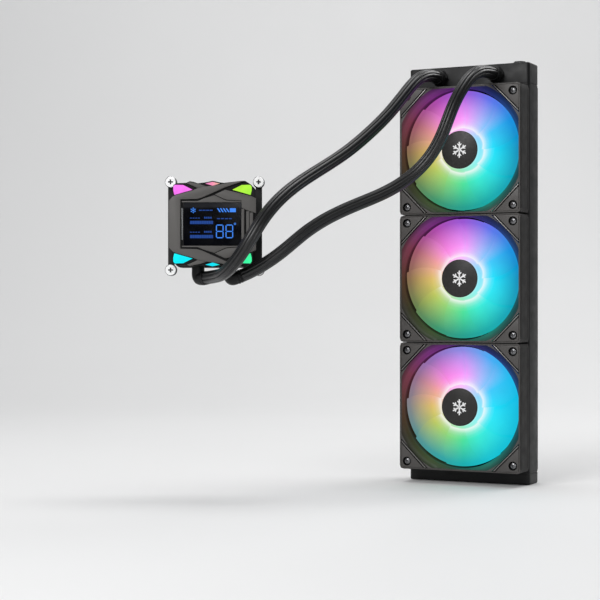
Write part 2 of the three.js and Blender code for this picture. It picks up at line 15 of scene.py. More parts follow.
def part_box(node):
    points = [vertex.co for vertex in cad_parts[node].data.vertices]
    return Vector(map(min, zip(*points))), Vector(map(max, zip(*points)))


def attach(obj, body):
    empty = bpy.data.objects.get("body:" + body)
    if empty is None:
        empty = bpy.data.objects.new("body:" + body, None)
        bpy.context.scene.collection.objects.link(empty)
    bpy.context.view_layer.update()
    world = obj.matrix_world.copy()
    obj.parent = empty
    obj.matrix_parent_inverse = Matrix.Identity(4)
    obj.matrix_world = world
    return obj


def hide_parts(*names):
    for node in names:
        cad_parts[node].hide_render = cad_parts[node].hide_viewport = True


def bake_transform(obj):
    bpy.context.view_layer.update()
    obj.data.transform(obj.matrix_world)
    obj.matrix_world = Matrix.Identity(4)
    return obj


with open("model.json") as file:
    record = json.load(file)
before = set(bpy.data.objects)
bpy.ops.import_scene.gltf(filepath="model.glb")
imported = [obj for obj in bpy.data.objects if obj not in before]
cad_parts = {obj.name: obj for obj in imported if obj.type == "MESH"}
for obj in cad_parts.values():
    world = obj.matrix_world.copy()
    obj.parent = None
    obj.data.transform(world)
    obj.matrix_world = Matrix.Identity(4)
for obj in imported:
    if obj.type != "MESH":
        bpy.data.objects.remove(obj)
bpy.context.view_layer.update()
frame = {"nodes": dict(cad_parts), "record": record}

MM = 0.001
TURN = 2 * math.pi
QUARTER = math.pi / 2

# ---- places, from the frame ----

FANS = ("bottom", "middle", "top")
CORNERS = ((-1, -1), (1, -1), (1, 1), (-1, 1))


def box_mm(node):
    """Lowest and highest corner of a CAD node, in millimetres."""
    return tuple(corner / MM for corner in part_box(node))


CORE_LOW, CORE_HIGH = box_mm("radiator_core")
UPPER_LOW, UPPER_HIGH = box_mm("tank_upper")
LOWER_LOW, LOWER_HIGH = box_mm("tank_lower")
FRAME_LOW, FRAME_HIGH = box_mm("fan_frame_bottom")
FAN_FRONT, FAN_REAR = FRAME_LOW.y, FRAME_HIGH.y
FAN_HALF = (FRAME_HIGH.x - FRAME_LOW.x) / 2
FAN_CENTRES = {name: sum(box_mm(f"fan_badge_{name}"), Vector()) / 2 for name in FANS}
SCREW_AT = 52.5

# The pump head's own frame: its origin is the middle of the cold plate's contact face.
HEAD_TURN = math.radians(26.5)
CONTACT = next(mount["pos_m"] for mount in frame["record"]["mounts"] if mount["name"] == "cold_plate_face")
HEAD = Matrix.Translation(CONTACT) @ Matrix.Rotation(HEAD_TURN, 4, "Z")

# ---- camera ----

EYE = (0.5327, -1.4389, 0.1724)
LENS = 96


def placed(name, data):
    obj = bpy.data.objects.new(name, data)
    bpy.context.scene.collection.objects.link(obj)
    return obj


def add_camera():
    data = bpy.data.cameras.new("camera")
    data.lens = LENS
    camera = placed("camera", data)
    camera.location = EYE
    camera.rotation_euler = (QUARTER, 0, HEAD_TURN)
    bpy.context.scene.camera = camera


# ---- shells: closed bodies in millimetres ----


class Shell:
    """Points, faces and the number of each face's material."""

    def __init__(self, points=(), faces=(), looks=None):
        self.points = [Vector(p) for p in points]
        self.faces = [list(face) for face in faces]
        self.looks = list(looks or [0] * len(self.faces))

    def __add__(self, other):
        first = len(self.points)
        faces = self.faces + [[first + i for i in face] for face in other.faces]
        return Shell(self.points + other.points, faces, self.looks + other.looks)

    def moved(self, matrix):
        return Shell([matrix @ p for p in self.points], self.faces, self.looks)

    def at(self, x, y, z):
        return self.moved(Matrix.Translation((x, y, z)))

    def turned(self, angle, axis="Y"):
        return self.moved(Matrix.Rotation(angle, 4, axis))

    def painted(self, look):
        self.looks = [look] * len(self.faces)
        return self


def together(shells):
    return sum(shells, Shell())


def at_corners(shell, reach):
    return together(shell.at(i * reach, 0, k * reach) for i, k in CORNERS)


def loft(rings, closed=False):
    """A skin over rings of points. It is capped at both ends or, where it is closed, joined end to end."""
    n = len(rings[0])
    faces = []
    for i in range(len(rings) if closed else len(rings) - 1):
        a, b = i * n, (i + 1) % len(rings) * n
        faces += [[a + k, a + (k + 1) % n, b + (k + 1) % n, b + k] for k in range(n)]
    if not closed:
        last = (len(rings) - 1) * n
        faces += [list(range(n)), list(range(last, last + n))]
    return Shell([p for ring in rings for p in ring], faces)


def lathe(profile, sides=48, ripple=lambda angle: 1):
    """A body turned about Y from (radius, y) points, which start and end on the axis or close on themselves.

    ripple(angle) scales the radius around the body, as a knurl or a hexagon does.
    """
    angles = [TURN * k / sides for k in range(sides)]

    def ring(radius, y):
        return [(radius * ripple(a) * math.sin(a), y, radius * ripple(a) * math.cos(a)) for a in angles]

    if profile[0][0] > 0:
        return loft([ring(r, y) for r, y in profile], closed=True)
    body = loft([ring(r, y) for r, y in profile[1:-1]])
    points, faces = body.points, body.faces[:-2]
    for (_, y), first in ((profile[0], 0), (profile[-1], len(points) - sides)):
        faces += [[len(points), first + k, first + (k + 1) % sides] for k in range(sides)]
        points.append((0, y, 0))
    return Shell(points, faces)


def cylinder(radius, y0, y1, sides=48, ripple=lambda angle: 1):
    return lathe([(0, y0), (radius, y0), (radius, y1), (0, y1)], sides, ripple)


def tube(inner, outer, y0, y1, sides=48):
    return lathe([(inner, y0), (outer, y0), (outer, y1), (inner, y1)], sides)


def knurl(grooves, depth):
    """A ripple of sharp grooves between round ridges."""
    return lambda angle: 1 - depth * (1 - abs(math.cos(grooves / 2 * angle)))


def prism(outline, y0, y1):
    """An outline of (x, z) points, extruded along Y."""
    return loft([[(x, y, z) for x, z in outline] for y in (y0, y1)])


def box(low, high):
    (x0, y0, z0), (x1, y1, z1) = low, high
    return prism([(x0, z0), (x1, z0), (x1, z1), (x0, z1)], y0, y1)


def arc(radius, start, end, steps):
    """Points round the origin, from one angle to another in quarter turns."""
    angles = [(start + (end - start) * step / steps) * QUARTER for step in range(steps + 1)]
    return [(radius * math.cos(a), radius * math.sin(a)) for a in angles]


def rounded_rectangle(width, height, radius):
    return [
        (i * (width / 2 - radius) + x, k * (height / 2 - radius) + z)
        for start, (i, k) in enumerate(((1, 1), (-1, 1), (-1, -1), (1, -1)))
        for x, z in arc(radius, start, start + 1, 6)
    ]


def stadium(width, length, steps=8, turn=0.0):
    """Two straight sides joined by half circles, long in its second direction unless it is turned."""
    radius = width / 2
    c, s = math.cos(turn), math.sin(turn)
    outline = [(a, end * (length / 2 - radius) + b) for end in (1, -1)
               for a, b in arc(radius, 1 - end, 3 - end, steps)]
    return [(a * c - b * s, a * s + b * c) for a, b in outline]


def stack(width, height, radius, levels, upright=False):
    """Rounded rectangles, each at a level and drawn in by an inset, lofted along Y or, upright, along Z."""
    rings = []
    for level, inset in levels:
        outline = rounded_rectangle(width - 2 * inset, height - 2 * inset, max(radius - inset, 0.2))
        rings.append([(a, b, level) if upright else (a, level, b) for a, b in outline])
    return loft(rings)


def square_reach(angle, half, radius):
    """How far a rounded square reaches from its centre in a direction."""
    c, s = abs(math.cos(angle)), abs(math.sin(angle))
    reach, inner = half / max(c, s), half - radius
    if reach * min(c, s) <= inner:
        return reach
    along = inner * (c + s)
    return along + math.sqrt(along ** 2 - 2 * inner ** 2 + radius ** 2)


def directions(path):
    """A normal and a binormal at each point, carried along without twist."""
    tangents = []
    for i in range(len(path)):
        before, after = path[max(i - 1, 0)], path[min(i + 1, len(path) - 1)]
        tangents.append((after - before).normalized())
    normal = tangents[0].orthogonal().normalized()
    found = []
    for i, tangent in enumerate(tangents):
        if i:
            normal = tangents[i - 1].rotation_difference(tangent) @ normal
        normal = (normal - normal.dot(tangent) * tangent).normalized()
        found.append((normal, tangent.cross(normal)))
    return found


def sweep(path, radius, sides, ripple=lambda angle: 1):
    """A body of one radius along a path."""
    path = [Vector(p) for p in path]
    rings = []
    for point, (normal, side) in zip(path, directions(path)):
        rings.append([
            point + (normal * math.cos(a) + side * math.sin(a)) * radius * ripple(a)
            for a in (TURN * k / sides for k in range(sides))
        ])
    return loft(rings)


# ---- shells through Blender's modifiers ----


def closed_mesh(name, points, faces):
    """A mesh with all its faces turned outwards."""
    mesh = bpy.data.meshes.new(name)
    mesh.from_pydata([tuple(p) for p in points], [], faces)
    work = bmesh.new()
    work.from_mesh(mesh)
    bmesh.ops.recalc_face_normals(work, faces=work.faces)
    work.to_mesh(mesh)
    work.free()
    return mesh


def worked(shell, cut=None, join=None, edge=0.0, segments=2):
    """The shell after a cut, a join and a bevel of its edges, as a shell again."""
    objects = [placed("work", closed_mesh("work", shell.points, shell.faces))]
    for tool, operation in ((cut, "DIFFERENCE"), (join, "UNION")):
        if tool:
            objects.append(placed("tool", closed_mesh("tool", tool.points, tool.faces)))
            boolean = objects[0].modifiers.new(operation, "BOOLEAN")
            boolean.operation, boolean.solver, boolean.object = operation, "EXACT", objects[-1]
    if edge:
        bevel = objects[0].modifiers.new("edge", "BEVEL")
        bevel.width, bevel.segments = edge, segments
        bevel.limit_method, bevel.angle_limit = "ANGLE", math.radians(40)
    graph = bpy.context.evaluated_depsgraph_get()
    result = objects[0].evaluated_get(graph).to_mesh()
    made = Shell([v.co.copy() for v in result.vertices], [p.vertices for p in result.polygons])
    for obj in objects:
        mesh = obj.data
        bpy.data.objects.remove(obj)
        bpy.data.meshes.remove(mesh)
    return made


def mesh_of(name, shell, looks, sharp=35):
    """The final mesh, in metres, smooth where its faces meet at less than the sharp angle."""
    mesh = closed_mesh(name, [p * MM for p in shell.points], shell.faces)
    for look in looks:
        mesh.materials.append(LOOKS[look])
    mesh.polygons.foreach_set("material_index", shell.looks)
    mesh.shade_smooth()
    mesh.set_sharp_from_angle(angle=math.radians(sharp))
    return mesh


def piece(name, mesh, body, stands_for=(), place=None):
    obj = placed(name, mesh)
    obj.matrix_world = place or Matrix.Identity(4)
    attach(obj, body)
    if stands_for:
        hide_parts(*stands_for)
    return obj


# ---- materials ----


def linear(*color):
    """A colour given in 0 to 255, as the linear colour that a shader takes."""
    shares = [value / 255 for value in color]
    return (*(v / 12.92 if v <= 0.04045 else ((v + 0.055) / 1.055) ** 2.4 for v in shares), 1)


def shaded(color, factor):
    return (*(factor * value for value in color[:3]), 1)


class Look:
    """A material that is being made: its nodes, its shader and its object or pump head coordinates."""

    def __init__(self, name, on_head=False, **sockets):
        self.material = bpy.data.materials.new(name)
        self.material.use_nodes = True
        self.tree = self.material.node_tree
        self.tree.nodes.clear()
        names = {"ior_level": "Specular IOR Level"}
        self.shader = self.node("BsdfPrincipled", {
            names.get(key, key.replace("_", " ").title()): value for key, value in sockets.items()})
        self.node("OutputMaterial", {"Surface": self.shader.outputs[0]})
        self.place = self.node("TexCoord", {}).outputs["Object"]
        if on_head:
            self.place = self.node("Mapping", {
                "Vector": self.place, "Location": HEAD.translation, "Rotation": (0, 0, HEAD_TURN),
            }, vector_type="TEXTURE").outputs[0]

    def node(self, kind, inputs, **settings):
        """A new node. An input that is given as a socket is linked, and any other is set."""
        made = self.tree.nodes.new("ShaderNode" + kind)
        for key, value in settings.items():
            setattr(made, key, value)
        for key, value in inputs.items():
            if isinstance(value, bpy.types.NodeSocket):
                self.tree.links.new(value, made.inputs[key])
            else:
                made.inputs[key].default_value = value
        return made

    def math(self, operation, *values):
        return self.node("Math", dict(enumerate(values)), operation=operation).outputs[0]

    def noise(self, size, detail=3, place=None):
        """Noise whose features are about that size, in metres."""
        return self.node("TexNoise", {
            "Vector": place or self.place, "Scale": 1 / size, "Detail": detail}).outputs[0]

    def blend(self, factor, a, b):
        return self.node("Mix", {0: factor, 6: a, 7: b}, data_type="RGBA").outputs[2]

    def fit(self, value, low, high, to_low=0.0, to_high=1.0):
        """The range from low to high, stretched to another."""
        return self.node("MapRange", {"Value": value, "From Min": low, "From Max": high,
                                      "To Min": to_low, "To Max": to_high}).outputs[0]

    def ramp(self, factor, stops):
        """A colour ramp through (position, colour) stops."""
        made = self.node("ValToRGB", {"Fac": factor})
        elements = made.color_ramp.elements
        elements[0].position, elements[0].color = stops[0]
        elements[1].position, elements[1].color = stops[-1]
        for position, color in stops[1:-1]:
            elements.new(position).color = color
        return made.outputs[0]

    def axes(self):
        return self.node("SeparateXYZ", {"Vector": self.place}).outputs

    def reach(self):
        """The distance from the Y axis."""
        x, _, z = self.axes()
        flat = self.node("CombineXYZ", {"X": x, "Z": z}).outputs[0]
        return self.node("VectorMath", {0: flat}, operation="LENGTH").outputs["Value"]

    def clock(self, colors):
        """Colours round the clock, from twelve and clockwise as seen from the front, by place about Y."""
        x, _, z = self.axes()
        turn = self.math("FRACT", self.math("DIVIDE", self.math("ARCTAN2", x, z), TURN))
        ring = (*colors, colors[0])
        return self.ramp(turn, [(i / len(colors), linear(*c)) for i, c in enumerate(ring)])

    def feed(self, **sockets):
        for socket, value in sockets.items():
            self.tree.links.new(value, self.shader.inputs[socket.replace("_", " ").title()])

    def tone(self, color, spread, size, place=None):
        """The base colour drifts a little lighter and darker."""
        drift = self.noise(size, place=place)
        self.feed(base_color=self.blend(drift, shaded(color, 1 - spread), shaded(color, 1 + spread)))

    def gloss(self, low, high, size, place=None):
        self.feed(roughness=self.fit(self.noise(size, place=place), 0.3, 0.7, low, high))

    def bump(self, height, strength, depth):
        made = self.node("Bump", {"Height": height, "Strength": strength, "Distance": depth})
        self.feed(normal=made.outputs[0])


def grained(name, color, gloss, grain_size, depth, spread=0.12, size=0.03, strength=0.5, **sockets):
    """Paint or moulded plastic: tone and gloss drift, and a fine grain covers it."""
    look = Look(name, **sockets)
    look.tone(linear(*color), spread, size)
    look.gloss(*gloss, size * 0.4)
    look.bump(look.noise(grain_size, 2), strength, depth)
    return look.material


def brushed(name, color, gloss, along):
    """Metal with fine scratches; along is small in the direction that they run in."""
    look = Look(name, metallic=1.0)
    lines = look.node("Mapping", {"Vector": look.place, "Scale": along}).outputs[0]
    look.tone(linear(*color), 0.1, 0.0006, lines)
    look.gloss(*gloss, 0.0009, lines)
    look.bump(look.noise(0.0005, 2, lines), 0.4, 0.00002)
    return look.material


def spun(name, color, gloss, **sockets):
    """A face turned on a lathe: fine rings about the object's Y axis."""
    look = Look(name, **sockets)
    pitch = 0.00035
    rings = look.math("SINE", look.math("MULTIPLY", look.reach(), TURN / pitch))
    look.tone(linear(*color), 0.1, 0.006)
    look.gloss(*gloss, 0.003)
    look.bump(look.math("ADD", rings, look.noise(0.0004)), 0.3, 0.00002)
    return look.material


# The light's colours round the clock: beside the hub, at the tips, and at the tips of the lowest fan.
ROOT_CLOCK = (
    (254, 155, 254), (190, 187, 254), (65, 204, 254), (30, 227, 254), (43, 236, 245), (60, 239, 213),
    (78, 229, 157), (144, 217, 123), (191, 204, 97), (225, 192, 108), (244, 163, 163), (253, 139, 233),
)
TIP_CLOCK = (
    (155, 88, 214), (96, 115, 236), (18, 146, 226), (5, 145, 190), (5, 166, 189), (14, 172, 171),
    (34, 159, 141), (60, 150, 110), (105, 131, 80), (137, 109, 78), (160, 88, 108), (173, 74, 171),
)
LOW_TIP_CLOCK = (
    (140, 140, 230), (70, 170, 245), (25, 190, 240), (5, 190, 225), (5, 195, 220), (10, 195, 210),
    (20, 175, 175), (55, 160, 160), (90, 145, 145), (130, 130, 135), (150, 110, 140), (150, 110, 190),
)
# Distance from the axis in millimetres, and how much of the light there is its own colour and not white.
HALO = ((17.9, 0.62), (19.0, 0.76), (20.3, 0.66), (21.2, 0.22), (22.4, 0.42), (25.0, 0.78), (28.0, 0.94),
        (31.0, 1.0))
# Painted glow of the blades' light on the frame, as emission colour by place: little at the upper right, most
# at the left.
DUCT_PAINTED_GLOW_CLOCK = (
    (44, 10, 80), (10, 28, 98), (3, 62, 122), (20, 72, 98), (10, 82, 86), (30, 112, 98),
    (28, 62, 50), (56, 72, 40), (50, 50, 32), (78, 50, 38), (112, 48, 68), (108, 38, 114),
)
# Share of the way from the frame's front to 10 mm behind it, and how strong the painted glow is there.
DUCT_PAINTED_GLOW_DEPTH = ((0, 0.1), (0.06, 0.55), (0.14, 0.95), (0.5, 1.0), (0.75, 0.7), (1, 0.4))
# The pump head's windows, by their places round the head.
WINDOW_CLOCK = (
    (255, 150, 185), (190, 250, 60), (165, 252, 75), (120, 245, 110), (70, 255, 160), (55, 255, 175),
    (0, 225, 245), (0, 240, 255), (0, 250, 255), (120, 180, 250), (255, 120, 250), (255, 122, 245),
)


def greys(stops):
    return [(place, (value, value, value, 1)) for place, value in stops]


def glowing_blades(name, tip_clock):
    """Milky plastic lit from the hub: a white ring at the blades' roots, then the colour of each place."""
    look = Look(name, roughness=0.5, ior_level=0.05)
    reach = look.reach()
    hue = look.blend(look.fit(reach, 0.030, 0.053), look.clock(ROOT_CLOCK), look.clock(tip_clock))
    first, last = HALO[0][0], HALO[-1][0]
    milk = look.ramp(look.fit(reach, first * MM, last * MM),
                     greys(((r - first) / (last - first), value) for r, value in HALO))
    look.feed(emission_color=look.blend(milk, (1, 1, 1, 1), hue),
              emission_strength=look.fit(look.noise(0.010), 0, 1, 0.93, 1.03))
    look.tone(linear(16, 16, 16), 0.1, 0.004)
    look.bump(look.noise(0.0006, 2), 0.15, 0.00002)
    return look.material


def painted_duct_glow(name):
    """The frame's plastic with a painted glow of the blades' light: emission, painted stronger on the flare
    than on lip and bore.
    """
    look = Look(name, ior_level=0.15)
    look.tone(linear(20, 20, 20), 0.12, 0.03)
    look.gloss(0.35, 0.5, 0.01)
    _, depth, _ = look.axes()
    share = look.fit(depth, FAN_FRONT * MM, (FAN_FRONT + 10) * MM)
    look.feed(emission_color=look.clock(DUCT_PAINTED_GLOW_CLOCK), emission_strength=look.ramp(share, greys(DUCT_PAINTED_GLOW_DEPTH)))
    look.bump(look.noise(0.0005, 2), 0.4, 0.00004)
    return look.material


def glowing_lens(name):
    """A light window, cloudy, in the colour of its place round the head."""
    look = Look(name, on_head=True, roughness=0.4, ior_level=0.05)
    look.tone(linear(16, 16, 16), 0.1, 0.004)
    look.feed(emission_color=look.clock(WINDOW_CLOCK),
              emission_strength=look.fit(look.noise(0.006), 0.3, 0.7, 0.9, 1.05))
    look.bump(look.noise(0.0005, 2), 0.2, 0.00003)
    return look.material


def braided(name):
    """A tight woven sleeve: two families of fine strands wind round the hose in opposite directions."""
    look = Look(name, ior_level=0.5)
    strands, lay = 40, 40 / 0.034
    coordinates = look.node("TexCoord", {}).outputs["UV"]
    around, along, _ = look.node("SeparateXYZ", {"Vector": coordinates}).outputs
    turns = look.math("MULTIPLY", around, math.pi * strands)
    wind = look.math("MULTIPLY", along, math.pi * lay)
    weave = look.math("MAXIMUM", *(
        look.math("ABSOLUTE", look.math("SINE", look.math(way, turns, wind))) for way in ("ADD", "SUBTRACT")))
    color = linear(15, 15, 16)
    look.feed(base_color=look.blend(weave, shaded(color, 0.5), shaded(color, 1.3)))
    look.gloss(0.33, 0.41, 0.004)
    look.bump(weave, 0.12, 0.00012)
    return look.material


def wound(name):
    """Enamelled wire: fine turns across the tooth."""
    look = Look(name, metallic=1.0)
    lines = look.node("TexWave", {"Vector": look.place, "Scale": 900.0, "Distortion": 0.5},
                      bands_direction="Y").outputs[1]
    look.feed(base_color=look.blend(lines, linear(95, 45, 25), linear(190, 105, 60)))
    look.gloss(0.3, 0.45, 0.002)
    look.bump(lines, 0.6, 0.0001)
    return look.material


def glass(name):
    """The dark screen: black, with a painted sheen of pale emission along its top, under clear glass."""
    look = Look(name, on_head=True, coat_weight=0.08, coat_roughness=0.04, ior_level=0.05,
                emission_strength=0.6)
    _, _, height = look.axes()
    # painted sheen: the emission rises towards the screen's top
    rise = look.fit(height, 0.0132, 0.0152)
    look.feed(base_color=look.blend(look.noise(0.02), linear(2, 2, 4), linear(4, 5, 9)),
              emission_color=look.blend(rise, linear(0, 0, 2), linear(40, 41, 44)))
    look.gloss(0.08, 0.16, 0.01)
    return look.material


def readout(name, light, dark):
    """Lit strokes on the screen, made of fine pixels."""
    look = Look(name, roughness=0.5, base_color=(0.01, 0.02, 0.04, 1), ior_level=0.1, emission_strength=1.0)
    cells = look.node("TexVoronoi", {"Vector": look.place, "Scale": 3500.0}).outputs[0]
    look.feed(emission_color=look.blend(cells, linear(*light), linear(*dark)))
    return look.material


LOOKS = {
    "black_paint": grained("satin_black_paint", (17, 17, 18), (0.42, 0.56), 0.0007, 0.00003, ior_level=0.3),
    "fins": brushed("painted_fins", (52, 52, 54), (0.38, 0.55), (1, 1, 0.05)),
    "frame": grained("grained_frame_plastic", (68, 65, 63), (0.42, 0.58), 0.0005, 0.00005),
    # The frame's outer walls: the same plastic in a darker copy, as painted shade on the sides.
    "frame_side": grained("frame_side_painted_shade", (36, 35, 34), (0.55, 0.7), 0.0005, 0.00005, ior_level=0.25),
    # The slanting bar on each corner pad: a lighter grey copy of the plastic, as a painted highlight along
    # the pad's edge.
    "frame_bar": grained("frame_bar_painted_highlight", (120, 118, 116), (0.25, 0.35), 0.0005, 0.00002, metallic=0.4),
    # Trenches and screw recesses: the frame's plastic painted near black, as painted shade in the hollows.
    "trench": grained("frame_recess_painted_shade", (9, 9, 9), (0.6, 0.75), 0.0005, 0.00004, ior_level=0.2),
    # the duct's plastic, with the blades' light painted on it as a glow
    "duct": painted_duct_glow("painted_duct_glow"),
    "badge": spun("spun_badge", (40, 39, 38), (0.34, 0.46), ior_level=0.3),
    "fixing": spun("zinc_screw", (120, 120, 122), (0.22, 0.34), metallic=0.9),
    "print": grained("white_print", (235, 235, 235), (0.45, 0.6), 0.0003, 0.00001, spread=0.03),
    "steel": spun("bright_steel", (205, 206, 208), (0.16, 0.3), metallic=1.0),
    "nickel": grained("satin_nickel", (232, 232, 232), (0.36, 0.46), 0.0008, 0.00002, spread=0.04,
                      metallic=0.7),
    "spring": brushed("spring_steel", (150, 152, 155), (0.2, 0.35), (1, 1, 1)),
    "copper": brushed("ground_copper", (205, 120, 80), (0.18, 0.34), (0.06, 1, 1)),
    "magnet": grained("pressed_ferrite", (60, 60, 63), (0.6, 0.75), 0.0006, 0.00006),
    "winding": wound("wound_copper_wire"),
    "board": grained("solder_mask", (18, 44, 30), (0.3, 0.45), 0.002, 0.00003, spread=0.25, size=0.008),
    "rubber": grained("moulded_rubber", (13, 13, 14), (0.45, 0.6), 0.0004, 0.00004, ior_level=0.3),
    "sleeve": braided("braided_sleeve"),
    "head": grained("head_plastic", (20, 20, 21), (0.36, 0.5), 0.0005, 0.00004),
    "bezel": grained("bezel_paint", (84, 82, 80), (0.44, 0.56), 0.00035, 0.00003, spread=0.06, ior_level=0.4),
    # The bezel's base: near black, as painted shade in the gaps between the raised bands.
    "bezel_painted_shade": grained("bezel_gap_painted_shade", (8, 8, 9), (0.5, 0.65), 0.0004, 0.00004, ior_level=0.2),
    "trim": brushed("light_trim", (120, 122, 124), (0.3, 0.4), (1, 1, 0.04)),
    "impeller": grained("impeller_plastic", (205, 205, 200), (0.35, 0.5), 0.0006, 0.00003, spread=0.05),
    "lens": glowing_lens("light_windows"),
    "glass": glass("screen_glass"),
    "readout": readout("screen_strokes", (75, 150, 255), (40, 118, 235)),
    "readout_dim": readout("screen_labels", (12, 64, 150), (6, 44, 116)),
    **{f"blades_{name}": glowing_blades(
        f"lit_blades_{name}", LOW_TIP_CLOCK if name == "bottom" else TIP_CLOCK)
       for name in FANS},
}

# ---- hoses ----

HOSE_RADIUS = 6.0
SLEEVE_MARGIN = 0.22  # keeps the round sleeve within the CAD tube's flat sides
HOSE_LEAD = 0.013
HOSE_GAP = 0.0003
PORT_RISE = 0.011
ELBOW_ACROSS, ELBOW_OUT, ELBOW_REACH = 14.0, 26.0, 12.0
ELBOWS = {
    "left": {"node": "elbow_outlet", "x": -ELBOW_ACROSS, "drop": 47.5, "turn": -48, "rise": 6},
    "right": {"node": "elbow_inlet", "x": ELBOW_ACROSS, "drop": 48.5, "turn": -8, "rise": 22},
}
ROUTES = {
    "left": (
        (-0.028, -0.065, 0.381), (-0.033, -0.086, 0.363), (-0.042, -0.105, 0.341), (-0.053, -0.125, 0.322),
        (-0.065, -0.148, 0.303), (-0.077, -0.176, 0.287), (-0.084, -0.206, 0.273), (-0.090, -0.231, 0.258),
        (-0.097, -0.247, 0.241), (-0.105, -0.255, 0.222), (-0.119, -0.254, 0.204), (-0.138, -0.243, 0.193),
    ),
    "right": (
        (0.028, -0.066, 0.382), (0.024, -0.087, 0.367), (0.0175, -0.098, 0.348), (0.012, -0.102, 0.329),
        (0.004, -0.102, 0.311), (-0.008, -0.104, 0.294), (-0.023, -0.112, 0.279), (-0.039, -0.126, 0.267),
        (-0.057, -0.143, 0.2575), (-0.077, -0.160, 0.246), (-0.095, -0.175, 0.231), (-0.110, -0.187, 0.213),
    ),
}


def elbow_lie(shape):
    """An elbow's corner and the direction of its outlet, in the head's own frame."""
    turn, rise = math.radians(shape["turn"]), math.radians(shape["rise"])
    direction = Vector((math.cos(turn) * math.cos(rise), math.sin(turn) * math.cos(rise), math.sin(rise)))
    return Vector((shape["x"], -ELBOW_OUT, -shape["drop"])), direction


def spline(controls, steps):
    """Points along the clamped cubic B-spline of these control points."""
    degree = 3
    spans = len(controls) - degree
    knots = [min(max((i - degree) / spans, 0), 1) for i in range(len(controls) + degree + 1)]
    points = []
    for step in range(steps + 1):
        t = min(step / steps, 1 - 1e-9)
        span = degree + int(t * spans)
        work = [Vector(controls[span - degree + j]) for j in range(degree + 1)]
        for level in range(1, degree + 1):
            for j in range(degree, level - 1, -1):
                low, high = knots[span - degree + j], knots[span + 1 + j - level]
                work[j] = work[j - 1].lerp(work[j], (t - low) / (high - low))
        points.append(work[degree])
    return points


def hose_line(side):
    """The hose's centreline in metres, from the tank's port to the pump head's elbow."""
    port_low, port_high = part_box(f"hose_port_{side}")
    start = Vector(((port_low.x + port_high.x) / 2, port_low.y - HOSE_GAP, CORE_HIGH.z * MM + PORT_RISE))
    corner, direction = elbow_lie(ELBOWS[side])
    direction = HEAD.to_3x3() @ direction
    end = HEAD @ (corner * MM) + direction * (ELBOW_REACH * MM + HOSE_GAP)
    lead_out = start - Vector((0, HOSE_LEAD, 0))
    return spline([start, lead_out, *ROUTES[side], end + direction * HOSE_LEAD, end], 260)


def add_hose(side):
    """The sleeve is drawn into rounded ribs along its length, with sharp valleys between them."""
    ribs, valley, sides = 8, 0.14, 80
    line = hose_line(side)
    travelled = [0.0]
    for a, b in zip(line, line[1:]):
        travelled.append(travelled[-1] + (b - a).length)
    shell = sweep([p / MM for p in line], HOSE_RADIUS - SLEEVE_MARGIN, sides,
                  lambda a: 1 - valley * (1 - math.sqrt(abs(math.cos(ribs / 2 * a)))))
    mesh = mesh_of(f"hose_{side}", shell, ["sleeve"], sharp=75)
    wrap(mesh, travelled, sides)
    obj = piece(f"sleeved_hose_{side}", mesh, "cooler", [f"hose_{side}"])


def wrap(mesh, travelled, sides):
    """Texture coordinates of a swept tube: once around, and metres along."""
    layer = mesh.uv_layers.new(name="wrap")
    for face in mesh.polygons:
        corners = [(i, *divmod(mesh.loops[i].vertex_index, sides)) for i in face.loop_indices]
        columns = [column for _, _, column in corners]
        over_seam = max(columns) - min(columns) > sides / 2
        for i, row, column in corners:
            around = sides if over_seam and column == 0 else column
            layer.data[i].uv = (around / sides, travelled[row])


# ---- radiator ----

TUBES, TUBE_THICK, TUBE_DEPTH, FIN_DEPTH, HEADER = 12, 1.9, 18.0, 17.0, 2.0


def fin_strip(left, right, low, high):
    """Foil folded to and fro between two tubes, as one closed thin body."""
    pitch, thick = 0.64, 0.11
    folds = int((high - low - thick) / pitch)
    points, faces = [], [[0, 1, 3, 2]]
    for i in range(folds + 1):
        x = left if i % 2 else right
        z = low + thick / 2 + i * pitch
        for y in (-FIN_DEPTH / 2, FIN_DEPTH / 2):
            points += [(x, y, z - thick / 2), (x, y, z + thick / 2)]
        if i:
            a, b = 4 * (i - 1), 4 * i
            faces += [[a, b, b + 1, a + 1], [a + 2, a + 3, b + 3, b + 2],
                      [a, a + 2, b + 2, b], [a + 1, b + 1, b + 3, a + 3]]
    last = 4 * folds
    faces.append([last, last + 2, last + 3, last + 1])
    return Shell(points, faces)


def core_mesh():
    width, depth = CORE_HIGH.x - CORE_LOW.x, CORE_HIGH.y - CORE_LOW.y
    gap = (width - TUBES * TUBE_THICK) / (TUBES + 1)
    low, high = CORE_LOW.z, CORE_HIGH.z
    section = stadium(TUBE_THICK, TUBE_DEPTH)
    fins, solid = Shell(), Shell()
    for i in range(TUBES + 1):
        left = CORE_LOW.x + i * (gap + TUBE_THICK)
        fins += fin_strip(left + 0.05, left + gap - 0.05, low + HEADER, high - HEADER)
        if i < TUBES:
            middle = left + gap + TUBE_THICK / 2
            solid += loft([[(middle + x, y, z) for x, y in section] for z in (low + 1, high - 1)])
    for z in (low, high - HEADER):
        levels = [(z, 0.4), (z + 0.4, 0), (z + HEADER - 0.4, 0), (z + HEADER, 0.4)]
        solid += stack(width, depth, 2, levels, upright=True)
    return mesh_of("radiator_core", fins + solid.painted(1), ["fins", "black_paint"])


def tank(low, high, mouth, end):
    """A deep-drawn tank: its mouth's rim, a groove over it, straight walls and a rounded closed end."""
    way, span, middle = math.copysign(1, end - mouth), abs(end - mouth), (low + high) / 2
    rises = [(0, 0.25), (0.25, 0), (1.5, 0), (1.65, 0.45), (2.35, 0.45), (2.5, 0), (span - 1.6, 0),
             (span - 1.0, 0.12), (span - 0.5, 0.45), (span - 0.15, 1.0), (span, 1.8)]
    levels = [(mouth + way * rise, inset) for rise, inset in rises]
    return stack(high.x - low.x, high.y - low.y, 3, levels, upright=True).at(middle.x, middle.y, 0)


